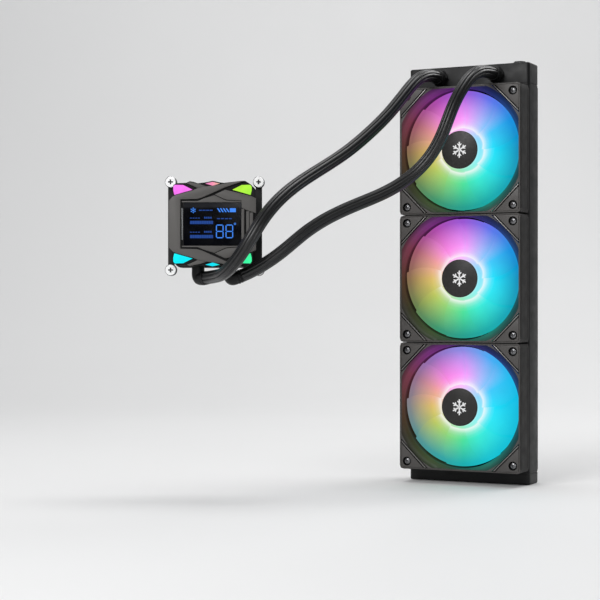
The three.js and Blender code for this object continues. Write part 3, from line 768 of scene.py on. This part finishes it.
def side_plate(side):
    """A folded channel with a row of tapped holes in each flange."""
    web, flange, bend = 1.2, 12.0, 1.6
    x, y = UPPER_HIGH.x, UPPER_HIGH.y
    skins = []
    for inset in (0, web):
        bends = [(x - bend + a, sign * (y - bend) + b) for sign, start in ((-1, 3), (1, 0))
                 for a, b in arc(bend - inset, start, start + 1, 4)]
        skins.append([(x - flange, inset - y), *bends, (x - flange, y - inset)])
    section = skins[0] + skins[1][::-1]
    channel = loft([[(a, b, z) for a, b in section] for z in (LOWER_HIGH.z + 0.1, UPPER_LOW.z - 0.1)])
    hole = cylinder(2.0, -y - 1, y + 1, 20)
    holes = together(hole.at(SCREW_AT, 0, FAN_CENTRES[name].z + end * SCREW_AT)
                     for name in FANS for end in (-1, 1))
    cut = worked(channel, cut=holes)
    return cut if side > 0 else cut.turned(math.pi, "Z")


def hex_reach(angle):
    """A hexagon's reach from its centre, over the reach of its corners."""
    return math.cos(math.pi / 6) / math.cos((angle + math.pi / 6) % (math.pi / 3) - math.pi / 6)


def port():
    """Foot, hexagon and a crimped ferrule over the hose's end, from the tank's face outwards."""
    nut = lathe([(0, -0.6), (7.4, -0.6), (8.0, -1.0), (8.0, -4.4), (7.4, -4.9), (0, -4.9)], 48, hex_reach)
    crimps = [(0, -4.7), (6.0, -4.7), (6.4, -5.1), (6.8, -5.4)]
    for start in (-6.6, -9.0):
        crimps += [(6.8, start), (6.4, start - 0.4), (6.4, start - 1.0), (6.8, start - 1.4)]
    crimps += [(6.8, -11.2), (6.5, -11.6), (0, -11.6)]
    return cylinder(7.6, 0, -0.8) + nut + lathe(crimps)


def fill_plug():
    """A hex-headed plug with a socket for its key."""
    low, high = box_mm("fill_plug")
    tall = high.z - UPPER_HIGH.z
    head = lathe([(0, 0), (5.5, 0), (6.0, 0.5), (6.0, tall - 0.5), (5.5, tall), (0, tall)], 48, hex_reach)
    socket = cylinder(2.3, 0.9, tall + 1, 24, hex_reach)
    middle = (low + high) / 2
    shell = worked(head, cut=socket) + cylinder(6.6, -0.2, 0.35)
    return shell.turned(QUARTER, "X").at(middle.x, middle.y, UPPER_HIGH.z)


def add_radiator():
    piece("core_of_tubes_and_fins", core_mesh(), "cooler", ["radiator_core"])
    for name, shell in (
        ("tank_lower", tank(LOWER_LOW, LOWER_HIGH, LOWER_HIGH.z, LOWER_LOW.z)),
        ("tank_upper", tank(UPPER_LOW, UPPER_HIGH, UPPER_LOW.z, UPPER_HIGH.z)),
        ("side_plate_left", side_plate(-1)),
        ("side_plate_right", side_plate(1)),
        ("fill_plug", fill_plug()),
    ):
        mesh = mesh_of(name, shell, ["black_paint"])
        piece(f"{name}_finished", mesh, "cooler", [name])
    mesh = mesh_of("hose_port", port(), ["rubber"])
    for side in ELBOWS:
        start = hose_line(side)[0]
        place = Matrix.Translation((start.x, UPPER_LOW.y * MM, start.z))
        piece(f"hose_port_{side}_finished", mesh, "cooler", [f"hose_port_{side}"], place)


# ---- fans ----

BORE = 57.5
FACE = 0.4  # how far the frame's face lies behind its rim and corner pads
PAD_INSET, PAD_LEG = 1.9, 27.8
PAD_LINE = 2 * FAN_HALF - PAD_LEG  # x + z along the corner pad's long side
SCREW_RECESS, SCREW_SEAT = 4.2, FAN_FRONT + 3.0


def frame_body():
    """The duct, its flared lip, the flat face with its rim, and the outer walls with a parting groove."""
    front, rear, half = FAN_FRONT, FAN_REAR, FAN_HALF
    flare_deep, flare_wide = 5.0, 6.5

    def circle(radius):
        return lambda angle: min(radius, square_reach(angle, half - PAD_INSET, 3))

    def square(inset):
        return lambda angle: square_reach(angle, half - inset, 3)

    levels = [(rear, circle(BORE + 0.6)), (rear - 0.6, circle(BORE)), (front + flare_deep, circle(BORE))]
    for across, deep in arc(1, 0, 1, 7)[1:]:
        lip = circle(BORE + flare_wide * (1 - across))
        levels.append((front + flare_deep - (flare_deep - FACE) * deep, lip))
    rim = [(FACE, 1.5), (FACE + 0.25, 1.4), (FACE + 0.25, 1.2), (0.1, 1.1), (0, 1.0), (0, 0.45), (0.45, 0)]
    for groove in (4.0, rear - front - 4.0):
        rim += [(groove - 0.5, 0), (groove - 0.25, 0.35), (groove + 0.25, 0.35), (groove + 0.5, 0)]
    rim += [(rear - front - 0.5, 0), (rear - front, 0.5)]
    levels += [(front + deep, square(inset)) for deep, inset in rim]
    angles = [TURN * k / 192 for k in range(192)]
    return loft([[(reach(a) * math.sin(a), y, reach(a) * math.cos(a)) for a in angles]
                 for y, reach in levels], closed=True)


def across_corner(near, far, inset):
    """A slanting strip's outline in the +X +Z corner, between two lines of equal x + z."""
    end = FAN_HALF - inset
    return [(end, near - end), (end, far - end), (far - end, end), (near - end, end)]


def strut():
    """A back strut, curved like a stator vane, from the motor seat to the duct."""
    start, end = 17.3, BORE + 0.8
    bulges = [(start + (end - start) * i / 8, math.sin(math.pi * i / 8)) for i in range(9)]
    outline = [(x, 6 + 2.4 * bulge) for x, bulge in bulges]
    outline += [(x, 10 + 1.8 * bulge) for x, bulge in bulges[::-1]]
    return worked(prism(outline, FAN_REAR - 3, FAN_REAR), edge=0.6)


def frame_looks(shell):
    """The duct, trenches and screw recesses, outer walls and face each have a look of their own: the duct a
    painted glow, the trenches and recesses near black as painted shade, the outer walls a darker copy as
    painted shade.
    """
    looks = []
    for face in shell.faces:
        middle = sum((shell.points[i] for i in face), Vector()) / len(face)
        x, y, z = abs(middle.x), middle.y, abs(middle.z)
        # sunk faces, in the trenches and screw recesses, take the near-black painted shade
        sunk = FAN_FRONT + FACE + 0.4 < y < FAN_REAR - 2 and max(x, z) < FAN_HALF - 1.2
        in_painted_duct_glow = math.hypot(x, z) < BORE + 6.6 and max(x, z) < FAN_HALF - 1.8
        # duct faces take the painted glow
        if in_painted_duct_glow and FAN_FRONT + FACE + 0.02 < y < FAN_REAR - 0.1:
            looks.append(2)
        # outer walls take the darker copy of the plastic: painted shade
        elif max(x, z) > FAN_HALF - 0.45:
            looks.append(4)
        else:
            looks.append(3 if sunk else 0)
    return looks


def frame_mesh():
    front, rear, seat = FAN_FRONT, FAN_REAR, SCREW_SEAT
    hole = lathe([(0, front - 1), (SCREW_RECESS, front - 1), (SCREW_RECESS, seat), (2.1, seat + 0.3),
                  (2.1, rear + 1), (0, rear + 1)], 32)
    holes = at_corners(hole, SCREW_AT)
    end, near = FAN_HALF - PAD_INSET, PAD_LINE + 2.1
    raised = worked(prism([(end, near - end), (end, end), (near - end, end)], front, front + 2.0), edge=0.3)
    # the bar takes the lighter look: a painted highlight along the corner pad's edge
    bar = prism(across_corner(PAD_LINE - 0.6, PAD_LINE + 0.7, PAD_INSET), front, front + 2.0)
    bar = worked(bar, edge=0.2)
    trench = prism(across_corner(PAD_LINE - 2.0, PAD_LINE + 2.3, 1.4), front - 1, front + 1.8)
    trenches = together(trench.turned(i * QUARTER) for i in range(4))
    shell = worked(worked(frame_body(), cut=holes), cut=trenches)
    shell.looks = frame_looks(shell)
    for i in range(4):
        pad = worked(raised.turned(i * QUARTER), cut=holes)
        pad.looks = frame_looks(pad)
        shell += pad + bar.turned(i * QUARTER).painted(1) + strut().turned((i + 0.35) * QUARTER)
    shell += lathe([(0, rear - 2.5), (20.0, rear - 2.5), (20.5, rear - 2.0), (20.5, rear - 0.5), (20.0, rear),
                    (0, rear)])
    shell += lathe([(1.8, rear - 15.5), (3.3, rear - 15.5), (3.6, rear - 15.1), (3.6, rear - 1),
                    (1.8, rear - 1)])
    return mesh_of("fan_frame", shell, ["frame", "frame_bar", "duct", "trench", "frame_side"])


BLADES, TIP = 9, 56.0
ROTOR_FRONT, ROTOR_REAR, NOSE, SKIRT = -36.5, -18.5, 18.2, 20.6


def hub_radius(y):
    share = min(max((y - ROTOR_FRONT) / 10.5, 0), 1)
    return NOSE + (SKIRT - NOSE) * share


def blade():
    """One swept blade. It overlaps the next one, so that the fan's face has no open gaps from the front."""
    across, along = 16, 12
    wrapped, lean, middle = math.radians(56), math.radians(14), -26.8
    points = []
    for layer in (-1, 1):
        for j in range(along + 1):
            out = j / along
            for i in range(across + 1):
                share = i / across
                y = middle + (12.0 - 5.0 * out) * (share - 0.5 + 0.05 * math.sin(TURN * share))
                thick = (1.5 - 0.5 * out) * (0.35 + 0.65 * math.sqrt(max(math.sin(math.pi * share), 0)))
                radius = (hub_radius(y) - 0.8) * (1 - out) + TIP * out
                angle = wrapped * share + lean * out ** 2
                points.append((radius * math.cos(angle), y + layer * thick / 2, radius * math.sin(angle)))
    row = across + 1
    count = row * (along + 1)
    faces = []
    for j in range(along):
        for a in range(j * row, j * row + across):
            faces += [[a, a + row, a + row + 1, a + 1],
                      [count + a, count + a + 1, count + a + row + 1, count + a + row]]
    edge = [*range(row - 1), *range(row - 1, count - 1, row), *range(count - 1, count - row, -1),
            *range(count - row, 0, -row)]
    faces += [[a, b, b + count, a + count] for a, b in zip(edge, edge[1:] + edge[:1])]
    return Shell(points, faces)


def rotor_shell():
    """Hub cup, the flared ring that the blades grow from, shaft and blades."""
    front, rear, shaft_end = ROTOR_FRONT, ROTOR_REAR, FAN_REAR - 3
    ring = [(19.4, -31.5), (19.9, -30.0), (20.8, -28.9), (22.2, -28.1), (23.6, -27.7), (24.4, -27.3),
            (24.5, -26.8), (23.8, -26.4), (21.4, -26.2)]
    hub = lathe([(0, front), (NOSE - 0.3, front), (NOSE, front + 0.3), *ring, (SKIRT, -26.0),
                 (SKIRT, rear + 0.5), (SKIRT - 0.4, rear), (SKIRT - 1.4, rear), (SKIRT - 1.4, front + 10.5),
                 (NOSE - 1.5, front + 2), (1.5, front + 2), (1.5, shaft_end), (0, shaft_end)], 96)
    return hub + together(blade().turned(TURN * i / BLADES) for i in range(BLADES))


def snowflake(size, width, front, rear):
    """A plain cold sign: three strokes through the centre, with a short chevron near each end."""
    tilt = math.pi / 6
    strokes = [prism(stadium(width, size, 6, i * TURN / 6 + tilt - QUARTER), front, rear) for i in range(3)]
    for lean in (-1, 1):
        barb = prism(stadium(width * 0.8, size * 0.2, 6, lean * math.pi / 4 - QUARTER), front + 0.01, rear)
        barb = barb.at(size * 0.31, 0, lean * size * 0.06)
        strokes += [barb.turned(TURN * i / 6 + tilt) for i in range(6)]
    return together(strokes)


def badge_mesh():
    rear = ROTOR_FRONT
    disc = lathe([(0, rear - 0.92), (17.0, rear - 0.92), (17.4, rear - 0.8), (17.7, rear - 0.5),
                  (17.7, rear - 0.05), (0, rear - 0.05)], 96)
    sign = snowflake(15, 1.3, rear - 1.0, rear - 0.8)
    return mesh_of("fan_badge", disc + sign.painted(1), ["badge", "print"])


def cross_slot(length, width, front, depth):
    """The two tapered arms of a cross for a screwdriver."""
    rings = [[(i * length / 2 * share, y, k * width / 2) for i, k in CORNERS]
             for y, share in ((front - 1, 1), (front, 1), (front + depth, 0.45))]
    return [loft(rings), loft(rings).turned(QUARTER)]


def thread(radius, y, end):
    """Sharp grooves along a part of a lathe's profile."""
    pitch, depth = 0.7, 0.35
    profile = []
    while y < end:
        profile += [(radius, y), (radius - depth, y + pitch / 2), (radius, y + pitch)]
        y += pitch
    return profile


def screw_mesh():
    """A pan-headed fan screw with a cross slot and a threaded shank."""
    seat, radius, tip = SCREW_SEAT, 3.2, -9.5
    top = seat - 2.5
    dome = [(radius * b, top + 1.3 * (1 - a)) for a, b in arc(1, 0, 1, 6)]
    shank = [(1.7, seat), *thread(1.7, seat + 12, tip - 1.4), (1.2, tip), (0, tip)]
    shell = lathe([*dome, (radius, seat), *shank], 32)
    for arm in cross_slot(3.4, 0.8, top, 1.5):
        shell = worked(shell, cut=arm)
    return mesh_of("fan_screw", shell, ["fixing"])


def stator_mesh():
    """Laminated six-tooth core with a coil on each tooth."""
    tooth = box((-1.2, -25, 6.5), (1.2, -22, 15))
    tooth += worked(box((-5.3, -25.5, 14.6), (5.3, -21.5, 16.2)), edge=0.4)
    tooth += worked(box((-3.2, -26.6, 7.8), (3.2, -20.4, 14.2)), edge=1.4, segments=3).painted(1)
    teeth = together(tooth.turned(TURN * i / 6) for i in range(6))
    return mesh_of("fan_stator", tube(4, 7, -25, -22, 36) + teeth, ["magnet", "winding"])


def board_mesh():
    """The ring of lamps under the hub: a board with twelve small lamps."""
    low, high = box_mm("fan_led_board_bottom")
    lamp = worked(box((-1.25, low.y - 0.9, 14.0), (1.25, low.y, 16.5)), edge=0.2).painted(1)
    lamps = together(lamp.turned(TURN * (i + 0.5) / 12) for i in range(12))
    return mesh_of("fan_led_board", tube(9, 17, low.y, high.y) + lamps, ["board", "print"])


def add_fans():
    case, badge, screw, stator, board = frame_mesh(), badge_mesh(), screw_mesh(), stator_mesh(), board_mesh()
    rotor = rotor_shell()
    for name in FANS:
        centre = FAN_CENTRES[name].z
        blades = mesh_of(f"fan_rotor_{name}", rotor, [f"blades_{name}"])
        for part, mesh, body, slot, node in (
            ("frame", case, "cooler", "frame_plastic", "frame"),
            ("blades", blades, f"rotor_{name}", "blade_plastic", "rotor"),
            ("badge", badge, f"rotor_{name}", "badge_plastic", "badge"),
            ("stator", stator, "cooler", "winding", "stator"),
            ("lamps", board, "cooler", "board", "led_board"),
        ):
            place = Matrix.Translation((0, 0, centre * MM))
            piece(f"{part}_of_{name}_fan", mesh, body, [f"fan_{node}_{name}"], place)
        for number, (i, k) in enumerate(CORNERS, 1):
            place = Matrix.Translation((i * SCREW_AT * MM, 0, (centre + k * SCREW_AT) * MM))
            node = f"fan_screw_{name}_{number}"
            piece(f"screw_{number}_of_{name}_fan", screw, "cooler", [node], place)


# ---- pump head, in its own frame; depth counts from the contact face towards the viewer ----

THUMBSCREW_AT = 39.0
ELBOW_TOP = -32.3
BEZEL_REAR = 47.3
SCREEN = (49.8, 36.8)
LEVELS = {"base": 51.6, "under": 53.2, "over": 54.0}


def slab(outline, rear, front, edge=0.0, cut=None):
    return worked(prism(outline, -front, -rear), edge=edge, cut=cut)


def plate(side, radius, rear, front, soft=0.4):
    """A rounded square with softened edges, from its rear depth to its front."""
    return stack(side, side, radius, [(-rear, soft), (-rear - soft, 0), (soft - front, 0), (-front, soft)])


def cold_plate():
    """Ground copper with eight countersunk screws round its edge and a lapped contact face."""
    shell = stack(54, 54, 4, [(0, 0.6), (-0.4, 0.15), (-0.8, 0), (-2.8, 0), (-3, 0.2)])
    head = lathe([(0, -1.2), (1.7, -1.2), (1.7, -0.5), (1.4, -0.25), (0, -0.25)], 20)
    head = worked(head, cut=cross_slot(2.0, 0.45, -0.2, -0.6)[0]).painted(1)
    pocket = cylinder(1.9, 1, -1.0, 20)
    spots = [(23.6 * i, 0, 23.6 * k) for i in (-1, 0, 1) for k in (-1, 0, 1) if i or k]
    fins = together(box((x - 0.4, -6, -15), (x + 0.4, -2.9, 15)) for x in range(-14, 15, 2))
    screws = together(head.at(*spot) for spot in spots)
    return worked(shell, cut=together(pocket.at(*spot) for spot in spots)) + fins + screws


def pump_base():
    """The moulded body with its bottom flange, waist groove, ribs and the two elbow bosses underneath."""
    body = stack(64, 64, 8, [(-6.8, 0), (-19, 0), (-19.4, 0.7), (-20.6, 0.7), (-21, 0), (-32.4, 0),
                             (-33, 0.6)])
    pocket = box((-20, -8, -20), (20, 0, 20))
    shell = worked(plate(68, 8, 5, 7), cut=pocket) + worked(body, cut=pocket)
    for side in (-1, 1):
        rib = worked(box((side * 31.6, -18, -0.8), (side * 32.0, -9, 0.8)), edge=0.12)
        shell += together(rib.at(0, 0, i * 5) for i in range(-4, 5))
        boss = lathe([(0, 0), (7.4, 0), (7.4, 0.9), (6.9, 1.4), (0, 1.4)], 40)
        shell += boss.turned(-QUARTER, "X").at(side * ELBOW_ACROSS, -ELBOW_OUT, -31.0)
    return shell


def housing():
    """The upper shell: a band of slim vertical flutes runs round it."""
    flutes = Shell()
    for x in (i * 4.4 for i in range(-5, 6)):
        for side in (-1, 1):
            flutes += box((side * 34.6, -44, x - 0.9), (side * 33.4, -36.5, x + 0.9))
            flutes += box((x - 0.9, -44, 33.4), (x + 0.9, -36.5, 34.6))
    return worked(plate(68, 8, 33.3, 47), cut=flutes)


def mirrored(outline, i=1, k=1):
    return [(i * x, k * z) for x, z in outline]


def both_halves(upper):
    """A closed outline from its upper half, which runs from right to left."""
    return list(upper) + mirrored(upper, 1, -1)[::-1]


# Outlines on the bezel's face, for its upper half or its upper right corner.
BASE_EDGE = (
    (37.5, 22.6), (34.9, 24.6), (34.9, 31.4), (33.8, 33.8), (31.2, 35.6), (28.2, 37.4), (24.2, 37.4),
    (17.7, 36.6), (10.0, 35.7), (6.4, 36.1), (0.2, 37.4), (-6.2, 36.1), (-12.8, 35.3), (-16.4, 36.6),
    (-19.7, 37.1), (-22.8, 35.7), (-30.5, 35.4), (-33.4, 34.2), (-34.8, 31.4), (-34.8, 24.2), (-37.5, 21.2),
)
WINDOW = ((33.9, 29.2), (33.9, 32.3), (32.7, 34.0), (25.3, 33.8), (17.2, 29.7), (33.0, 25.2))
DIAMOND = ((-6.2, 35.1), (0.2, 33.2), (6.4, 35.1), (0.2, 36.5))
OVER_BAND = (
    (-27.6, 21.3), (-13.4, 21.7), (-9.5, 22.7), (0.4, 27.0), (10.7, 31.7), (17.7, 34.1), (27.6, 37.3),
    (24.4, 37.3), (17.7, 36.2), (6.4, 34.0), (-4.2, 32.5), (-12.5, 31.0), (-17.1, 29.0), (-32.4, 24.7),
    (-34.3, 23.6), (-37.5, 20.2),
)
UNDER_BAND = (
    (2.1, 25.4), (10.4, 21.6), (12.7, 20.9), (25.0, 20.3), (25.4, 14.1), (29.3, 12.1), (37.5, 9.5),
    (37.5, 22.4), (33.7, 24.0), (17.1, 28.3), (11.0, 29.6),
)
WEDGE = ((-22.0, 35.0), (-20.4, 34.6), (-16.1, 32.7), (-12.5, 31.0), (-4.2, 32.2), (-10.5, 34.3),
         (-16.4, 35.5), (-19.7, 36.3))
LEDGE = ((-26.4, 18.8), (25.0, 18.8), (25.0, 19.9), (12.5, 20.3), (10.2, 21.0), (1.7, 25.0), (-7.8, 22.0),
         (-12.6, 19.9), (-26.4, 19.9))
WINDOWS = [mirrored(WINDOW, i, k) for i, k in CORNERS] + [mirrored(DIAMOND, 1, k) for k in (-1, 1)]


def bezel():
    """The base with its openings, painted near black as shade in the gaps between the bands, and on it the
    bands that cross above and below the screen.
    """
    screen = rounded_rectangle(SCREEN[0] + 0.6, SCREEN[1] + 0.6, 0.5)
    openings = together(slab(outline, 46, 56) for outline in (*WINDOWS, screen))
    base = slab(both_halves(BASE_EDGE), BEZEL_REAR, LEVELS["base"], edge=0.3)
    # the base takes the near-black painted shade
    shell = worked(base, cut=openings).painted(1)
    root = LEVELS["base"] - 0.6
    shell += slab(both_halves(OVER_BAND), root, LEVELS["over"], edge=0.3)
    for outline, front in ((UNDER_BAND, LEVELS["under"]), (WEDGE, LEVELS["under"]), (LEDGE, 52.8)):
        shell += together(slab(mirrored(outline, 1, k), root, front, edge=0.25) for k in (-1, 1))
    for x, wide, front in ((26.3, 2.4, 53.4), (30.6, 2.6, 52.9), (33.7, 2.8, 52.9)):
        tall = 2 * (13.2 - (x - 26) * 0.42)
        shell += slab(rounded_rectangle(wide, tall, 0.3), root, front, 0.25).at(x, 0, 0)
    return shell + slab(rounded_rectangle(1.2, 27.4, 0.3), root, 53.0, 0.2).at(-26.0, 0, 0).painted(2)


def light_windows():
    """Milky windows that fill the bezel's openings, joined behind it by the light ring."""
    lenses = together(slab(outline, 47.8, 52.0, edge=0.3) for outline in WINDOWS)
    opening = slab(rounded_rectangle(54, 42, 1), 46, 52)
    return worked(plate(65.6, 3, 47.6, 50.4, 0.2), cut=opening) + lenses


def digit_strokes(width, height, stroke):
    """A seven-stroke figure eight as outlines, with its centre at the origin."""
    gap, right, top, half = stroke / 2, (width - stroke) / 2, (height - stroke) / 2, stroke / 2

    def bar(x, z, length, upright):
        end = (length - gap) / 2
        outline = [(-end, 0), (half - end, half), (end - half, half), (end, 0), (end - half, -half),
                   (half - end, -half)]
        return [(x + b, z + a) if upright else (x + a, z + b) for a, b in outline]

    return [bar(0, z, 2 * right, False) for z in (-top, 0, top)] + [
        bar(x, z, top, True) for x in (-right, right) for z in (-top / 2, top / 2)]


def bars(count, step, x, z, width, height, lean=0.0):
    """Equal bars side by side, as outlines; x and z are the middle of the first."""
    return [[(x + step * n + (i * width + k * lean) / 2, z + k * height / 2) for i, k in CORNERS]
            for n in range(count)]


def screen_page():
    """A generic temperature page: a cold sign, bars, a hatch, and two figures with a degree sign."""
    front, rear = -52.05, -51.95
    bright = bars(4, 2.5, 5.6, 12.0, 1.2, 3.4, lean=-2.2) + bars(1, 0, 17.6, 12.0, 5.2, 3.4)
    for x in (6.3, 14.6):
        bright += [[(x + a, b - 6.3) for a, b in bar] for bar in digit_strokes(6.6, 11.8, 0.85)]
    dim = bars(4, 3.1, -10.4, 11.9, 2.6, 0.9) + bars(4, 3.4, 5.2, 4.7, 2.6, 0.9)
    for z in (5.2, -7.0):
        dim += bars(4, 2.3, -18.6, z, 1.7, 0.7) + bars(4, 1.75, -6.6, z + 0.3, 1.3, 1.6)
        dim += bars(10, 2.0, -18.4, z - 3.8, 1.85, 2.8)
    marks = together(prism(outline, front, rear) for outline in bright)
    marks += together(prism(outline, front, rear) for outline in dim).painted(1)
    degree = tube(0.45, 0.9, front, rear, 20).at(19.4, 0, 0.2)
    return marks + degree + snowflake(5.2, 0.36, front, rear).at(-16.6, 0, 11.9)


def bracket():
    """The screw frame: a square ring round the base, two upright bars and four eyes."""
    rear, front, hole, bar = 7.3, 9.5, THUMBSCREW_AT, 5.7
    shell = prism(rounded_rectangle(74, 74, 8), -front, -rear)
    for i in (-1, 1):
        low, high = i * hole - bar / 2, i * hole + bar / 2
        shell = worked(shell, join=box((low, -front, -hole), (high, -rear, hole)))
    for i, k in CORNERS:
        shell = worked(shell, join=cylinder(5.2, -front, -rear, 32).at(i * hole, 0, k * hole))
    window = prism(rounded_rectangle(64.6, 64.6, 8), -front - 1, -rear + 1)
    return worked(shell, cut=window + at_corners(cylinder(2.5, -front - 1, -rear + 1, 24), hole), edge=0.45)


def thumbscrew():
    """A black knurled rim round a flat bright cap with a cross slot, painted black inside as shade, on a
    threaded shank.
    """
    head, top, rear, tip = 5.1, -17.5, -12.5, -1.0
    rim = lathe([(0, top + 0.4), (head - 0.3, top + 0.4), (head, top + 0.7), (head, rear - 0.5),
                 (head - 0.4, rear), (0, rear)], 120, knurl(30, 0.045))
    cap = lathe([(0, top), (head - 0.6, top), (head - 0.35, top + 0.25), (head - 0.35, top + 2.4),
                 (0, top + 2.4)], 60)
    for arm in cross_slot(4.3, 1.35, top, 2.0):
        cap = worked(cap, cut=arm)
    # the slot's walls and floor take the black plastic look: painted shade in the slot
    cap.looks = [0 if max(cap.points[i].y for i in face) < top + 0.4 else 1 for face in cap.faces]
    shank = [(0, rear - 0.1), (2.0, rear - 0.1), *thread(2.0, -8.5, tip - 1.2), (1.3, tip), (0, tip)]
    return rim.painted(1) + cap + lathe(shank, 24)


def spring():
    """The short spring between the bracket and a thumbscrew's head."""
    turns, radius, wire, low, high = 2.5, 3.3, 0.42, -9.95, -12.05
    path = []
    for share in (step / 80 for step in range(81)):
        angle = TURN * turns * share
        path.append((radius * math.cos(angle), low + (high - low) * share, radius * math.sin(angle)))
    return sweep(path, wire, 10)


def elbow(shape):
    """A swivel elbow: knurled collar, a stem that bends into the outlet, and the outlet's crimped ferrule."""
    corner, direction = elbow_lie(shape)
    top = Vector((corner.x, corner.y, ELBOW_TOP))
    collar = lathe([(0, 0), (6.6, 0), (7.0, 0.4), (7.0, 2.6), (6.6, 3.0), (0, 3.0)], 72, knurl(36, 0.02))
    bend, radius = 5.2, 5.6
    enter, leave = corner + Vector((0, 0, bend)), corner + direction * bend
    path = [top - Vector((0, 0, 2.8)), enter + Vector((0, 0, 0.6))]
    path += [enter.lerp(corner, t).lerp(corner.lerp(leave, t), t) for t in (step / 12 for step in range(13))]
    stem = sweep([*path, corner + direction * 9.0], radius, 40)
    outlet = [(0, 6.4), (5.6, 6.4), (6.0, 6.8), (6.0, 8.2), (5.6, 8.6), (5.6, 9.1), (6.0, 9.5), (6.0, 10.6),
              (5.6, 11.0), (5.6, 11.4), (6.0, 11.7), (5.9, ELBOW_REACH), (0, ELBOW_REACH)]
    out = Matrix.Translation(corner) @ direction.to_track_quat("Y", "Z").to_matrix().to_4x4()
    return collar.turned(-QUARTER, "X").at(*top) + stem + lathe(outlet, 40).moved(out)


def head_mesh(name, shell, looks):
    """The mesh of a shell that is drawn in the head's own frame."""
    in_millimetres = Matrix.Translation(HEAD.translation / MM) @ HEAD.to_3x3().to_4x4()
    return mesh_of(name, shell.moved(in_millimetres), looks)


def add_spring(number, shell):
    """It stands on the bracket, under its thumbscrew's head."""
    obj = placed(f"spring_{number}", head_mesh(f"spring_{number}", shell, ["spring"]))
    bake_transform(obj)


def add_pump_head():
    tray = stack(51.4, 39.1, 1, [(-43, 0.2), (-43.2, 0), (-50.4, 0), (-50.6, 0.2)])
    pane = stack(*SCREEN, 0.5, [(-45, 0), (-51.8, 0), (-52, 0.2)])
    for name, shell, looks, slot, node in (
        ("cold_plate_finished", cold_plate(), ["copper", "steel"], "copper", "cold_plate"),
        ("pump_base_finished", pump_base(), ["head"], "head_plastic", "pump_base"),
        ("pump_housing_finished", housing(), ["head"], "head_plastic", "pump_housing"),
        ("bezel_finished", bezel(), ["bezel", "bezel_painted_shade", "trim"], "bezel_paint", "bezel"),
        ("light_windows", light_windows(), ["lens"], "light_plastic", "light_guide"),
        ("screen", tray.painted(1) + pane, ["glass", "head"], "screen_glass", "display"),
        ("screen_page", screen_page(), ["readout", "readout_dim"], "screen_glass", None),
        ("bracket_finished", bracket(), ["black_paint"], "black_paint", "retention_bracket"),
        *((f"{shape['node']}_finished", elbow(shape), ["rubber"], "head_plastic", shape["node"])
          for shape in ELBOWS.values()),
    ):
        piece(name, head_mesh(name, shell, looks), "cooler", [node] if node else ())
    screw, coil = thumbscrew(), spring()
    for number, (i, k) in enumerate(CORNERS, 1):
        at = (i * THUMBSCREW_AT, 0, k * THUMBSCREW_AT)
        name = f"thumbscrew_{number}_finished"
        piece(name, head_mesh(name, screw.at(*at), ["nickel", "head"]), f"screw_{number}",
              [f"thumbscrew_{number}"])
        add_spring(number, coil.at(*at))


# ---- CAD nodes that show as they are ----

KEPT = {
    "tank_divider": "black_paint", "cold_plate_gasket": "rubber", "pump_impeller": "impeller",
    "pump_shaft": "steel", "pump_chamber_lid": "head", "pump_stator": "winding", "control_board": "board",
    **{f"fan_magnet_{name}": "magnet" for name in FANS},
}


def finish_kept_nodes():
    for name, look in KEPT.items():
        materials = frame["nodes"][name].data.materials
        materials.clear()
        materials.append(LOOKS[look])


# ---- studio ----

TARGET = (-0.04, -0.08, 0.2)
LIGHTS = {
    "key": ((-0.4, -1.9, 1.1), TARGET, (0.9, 0.7), 22),
    "small": ((0.75, -1.9, 0.5), TARGET, (0.25, 0.25), 3.5),
    "top": ((0.0, -0.3, 1.9), TARGET, (1.4, 0.8), 7),
    "backdrop": ((0.2, 0.5, 2.6), (-0.3, 1.6, 0.4), (2.0, 0.8), 34),
    "rear": ((0.5, 1.3, 1.2), TARGET, (0.6, 0.6), 5),
}


def add_floor():
    """A pale sweep: flat floor that curves up into a far wall."""
    wide, front, bend, back, tall = 6.0, -3.0, 1.2, 2.2, 4.0
    curve = [(back - bend + b, bend - a) for a, b in arc(bend, 0, 1, 12)]
    profile = [(front, 0.0), *curve, (back, tall)]
    n = len(profile)
    mesh = bpy.data.meshes.new("floor")
    mesh.from_pydata([(x, y, z) for x in (-wide, wide) for y, z in profile], [],
                     [[k, k + 1, n + k + 1, n + k] for k in range(n - 1)])
    mesh.materials.append(grained("floor", (232, 232, 232), (0.6, 0.75), 0.004, 0.0002, spread=0.02, size=0.6,
                                  strength=0.15))
    mesh.shade_smooth()
    floor = placed("floor", mesh)
    floor.rotation_euler = (0, 0, HEAD_TURN)


def add_lights():
    for name, (location, target, size, power) in LIGHTS.items():
        data = bpy.data.lights.new(name, "AREA")
        data.shape, data.energy = "RECTANGLE", power
        data.size, data.size_y = size
        light = placed(name, data)
        light.location = location
        light.rotation_mode = "QUATERNION"
        light.rotation_quaternion = (Vector(target) - Vector(location)).to_track_quat("-Z", "Y")
    world = bpy.data.worlds.new("studio")
    world.use_nodes = True
    background = world.node_tree.nodes["Background"]
    background.inputs["Color"].default_value = (0.95, 0.97, 1, 1)
    background.inputs["Strength"].default_value = 0.16
    scene = bpy.context.scene
    scene.world = world
    scene.view_settings.view_transform = "Standard"


add_camera()
for hose_side in ELBOWS:
    add_hose(hose_side)
add_radiator()
add_fans()
add_pump_head()
finish_kept_nodes()
add_floor()
add_lights()
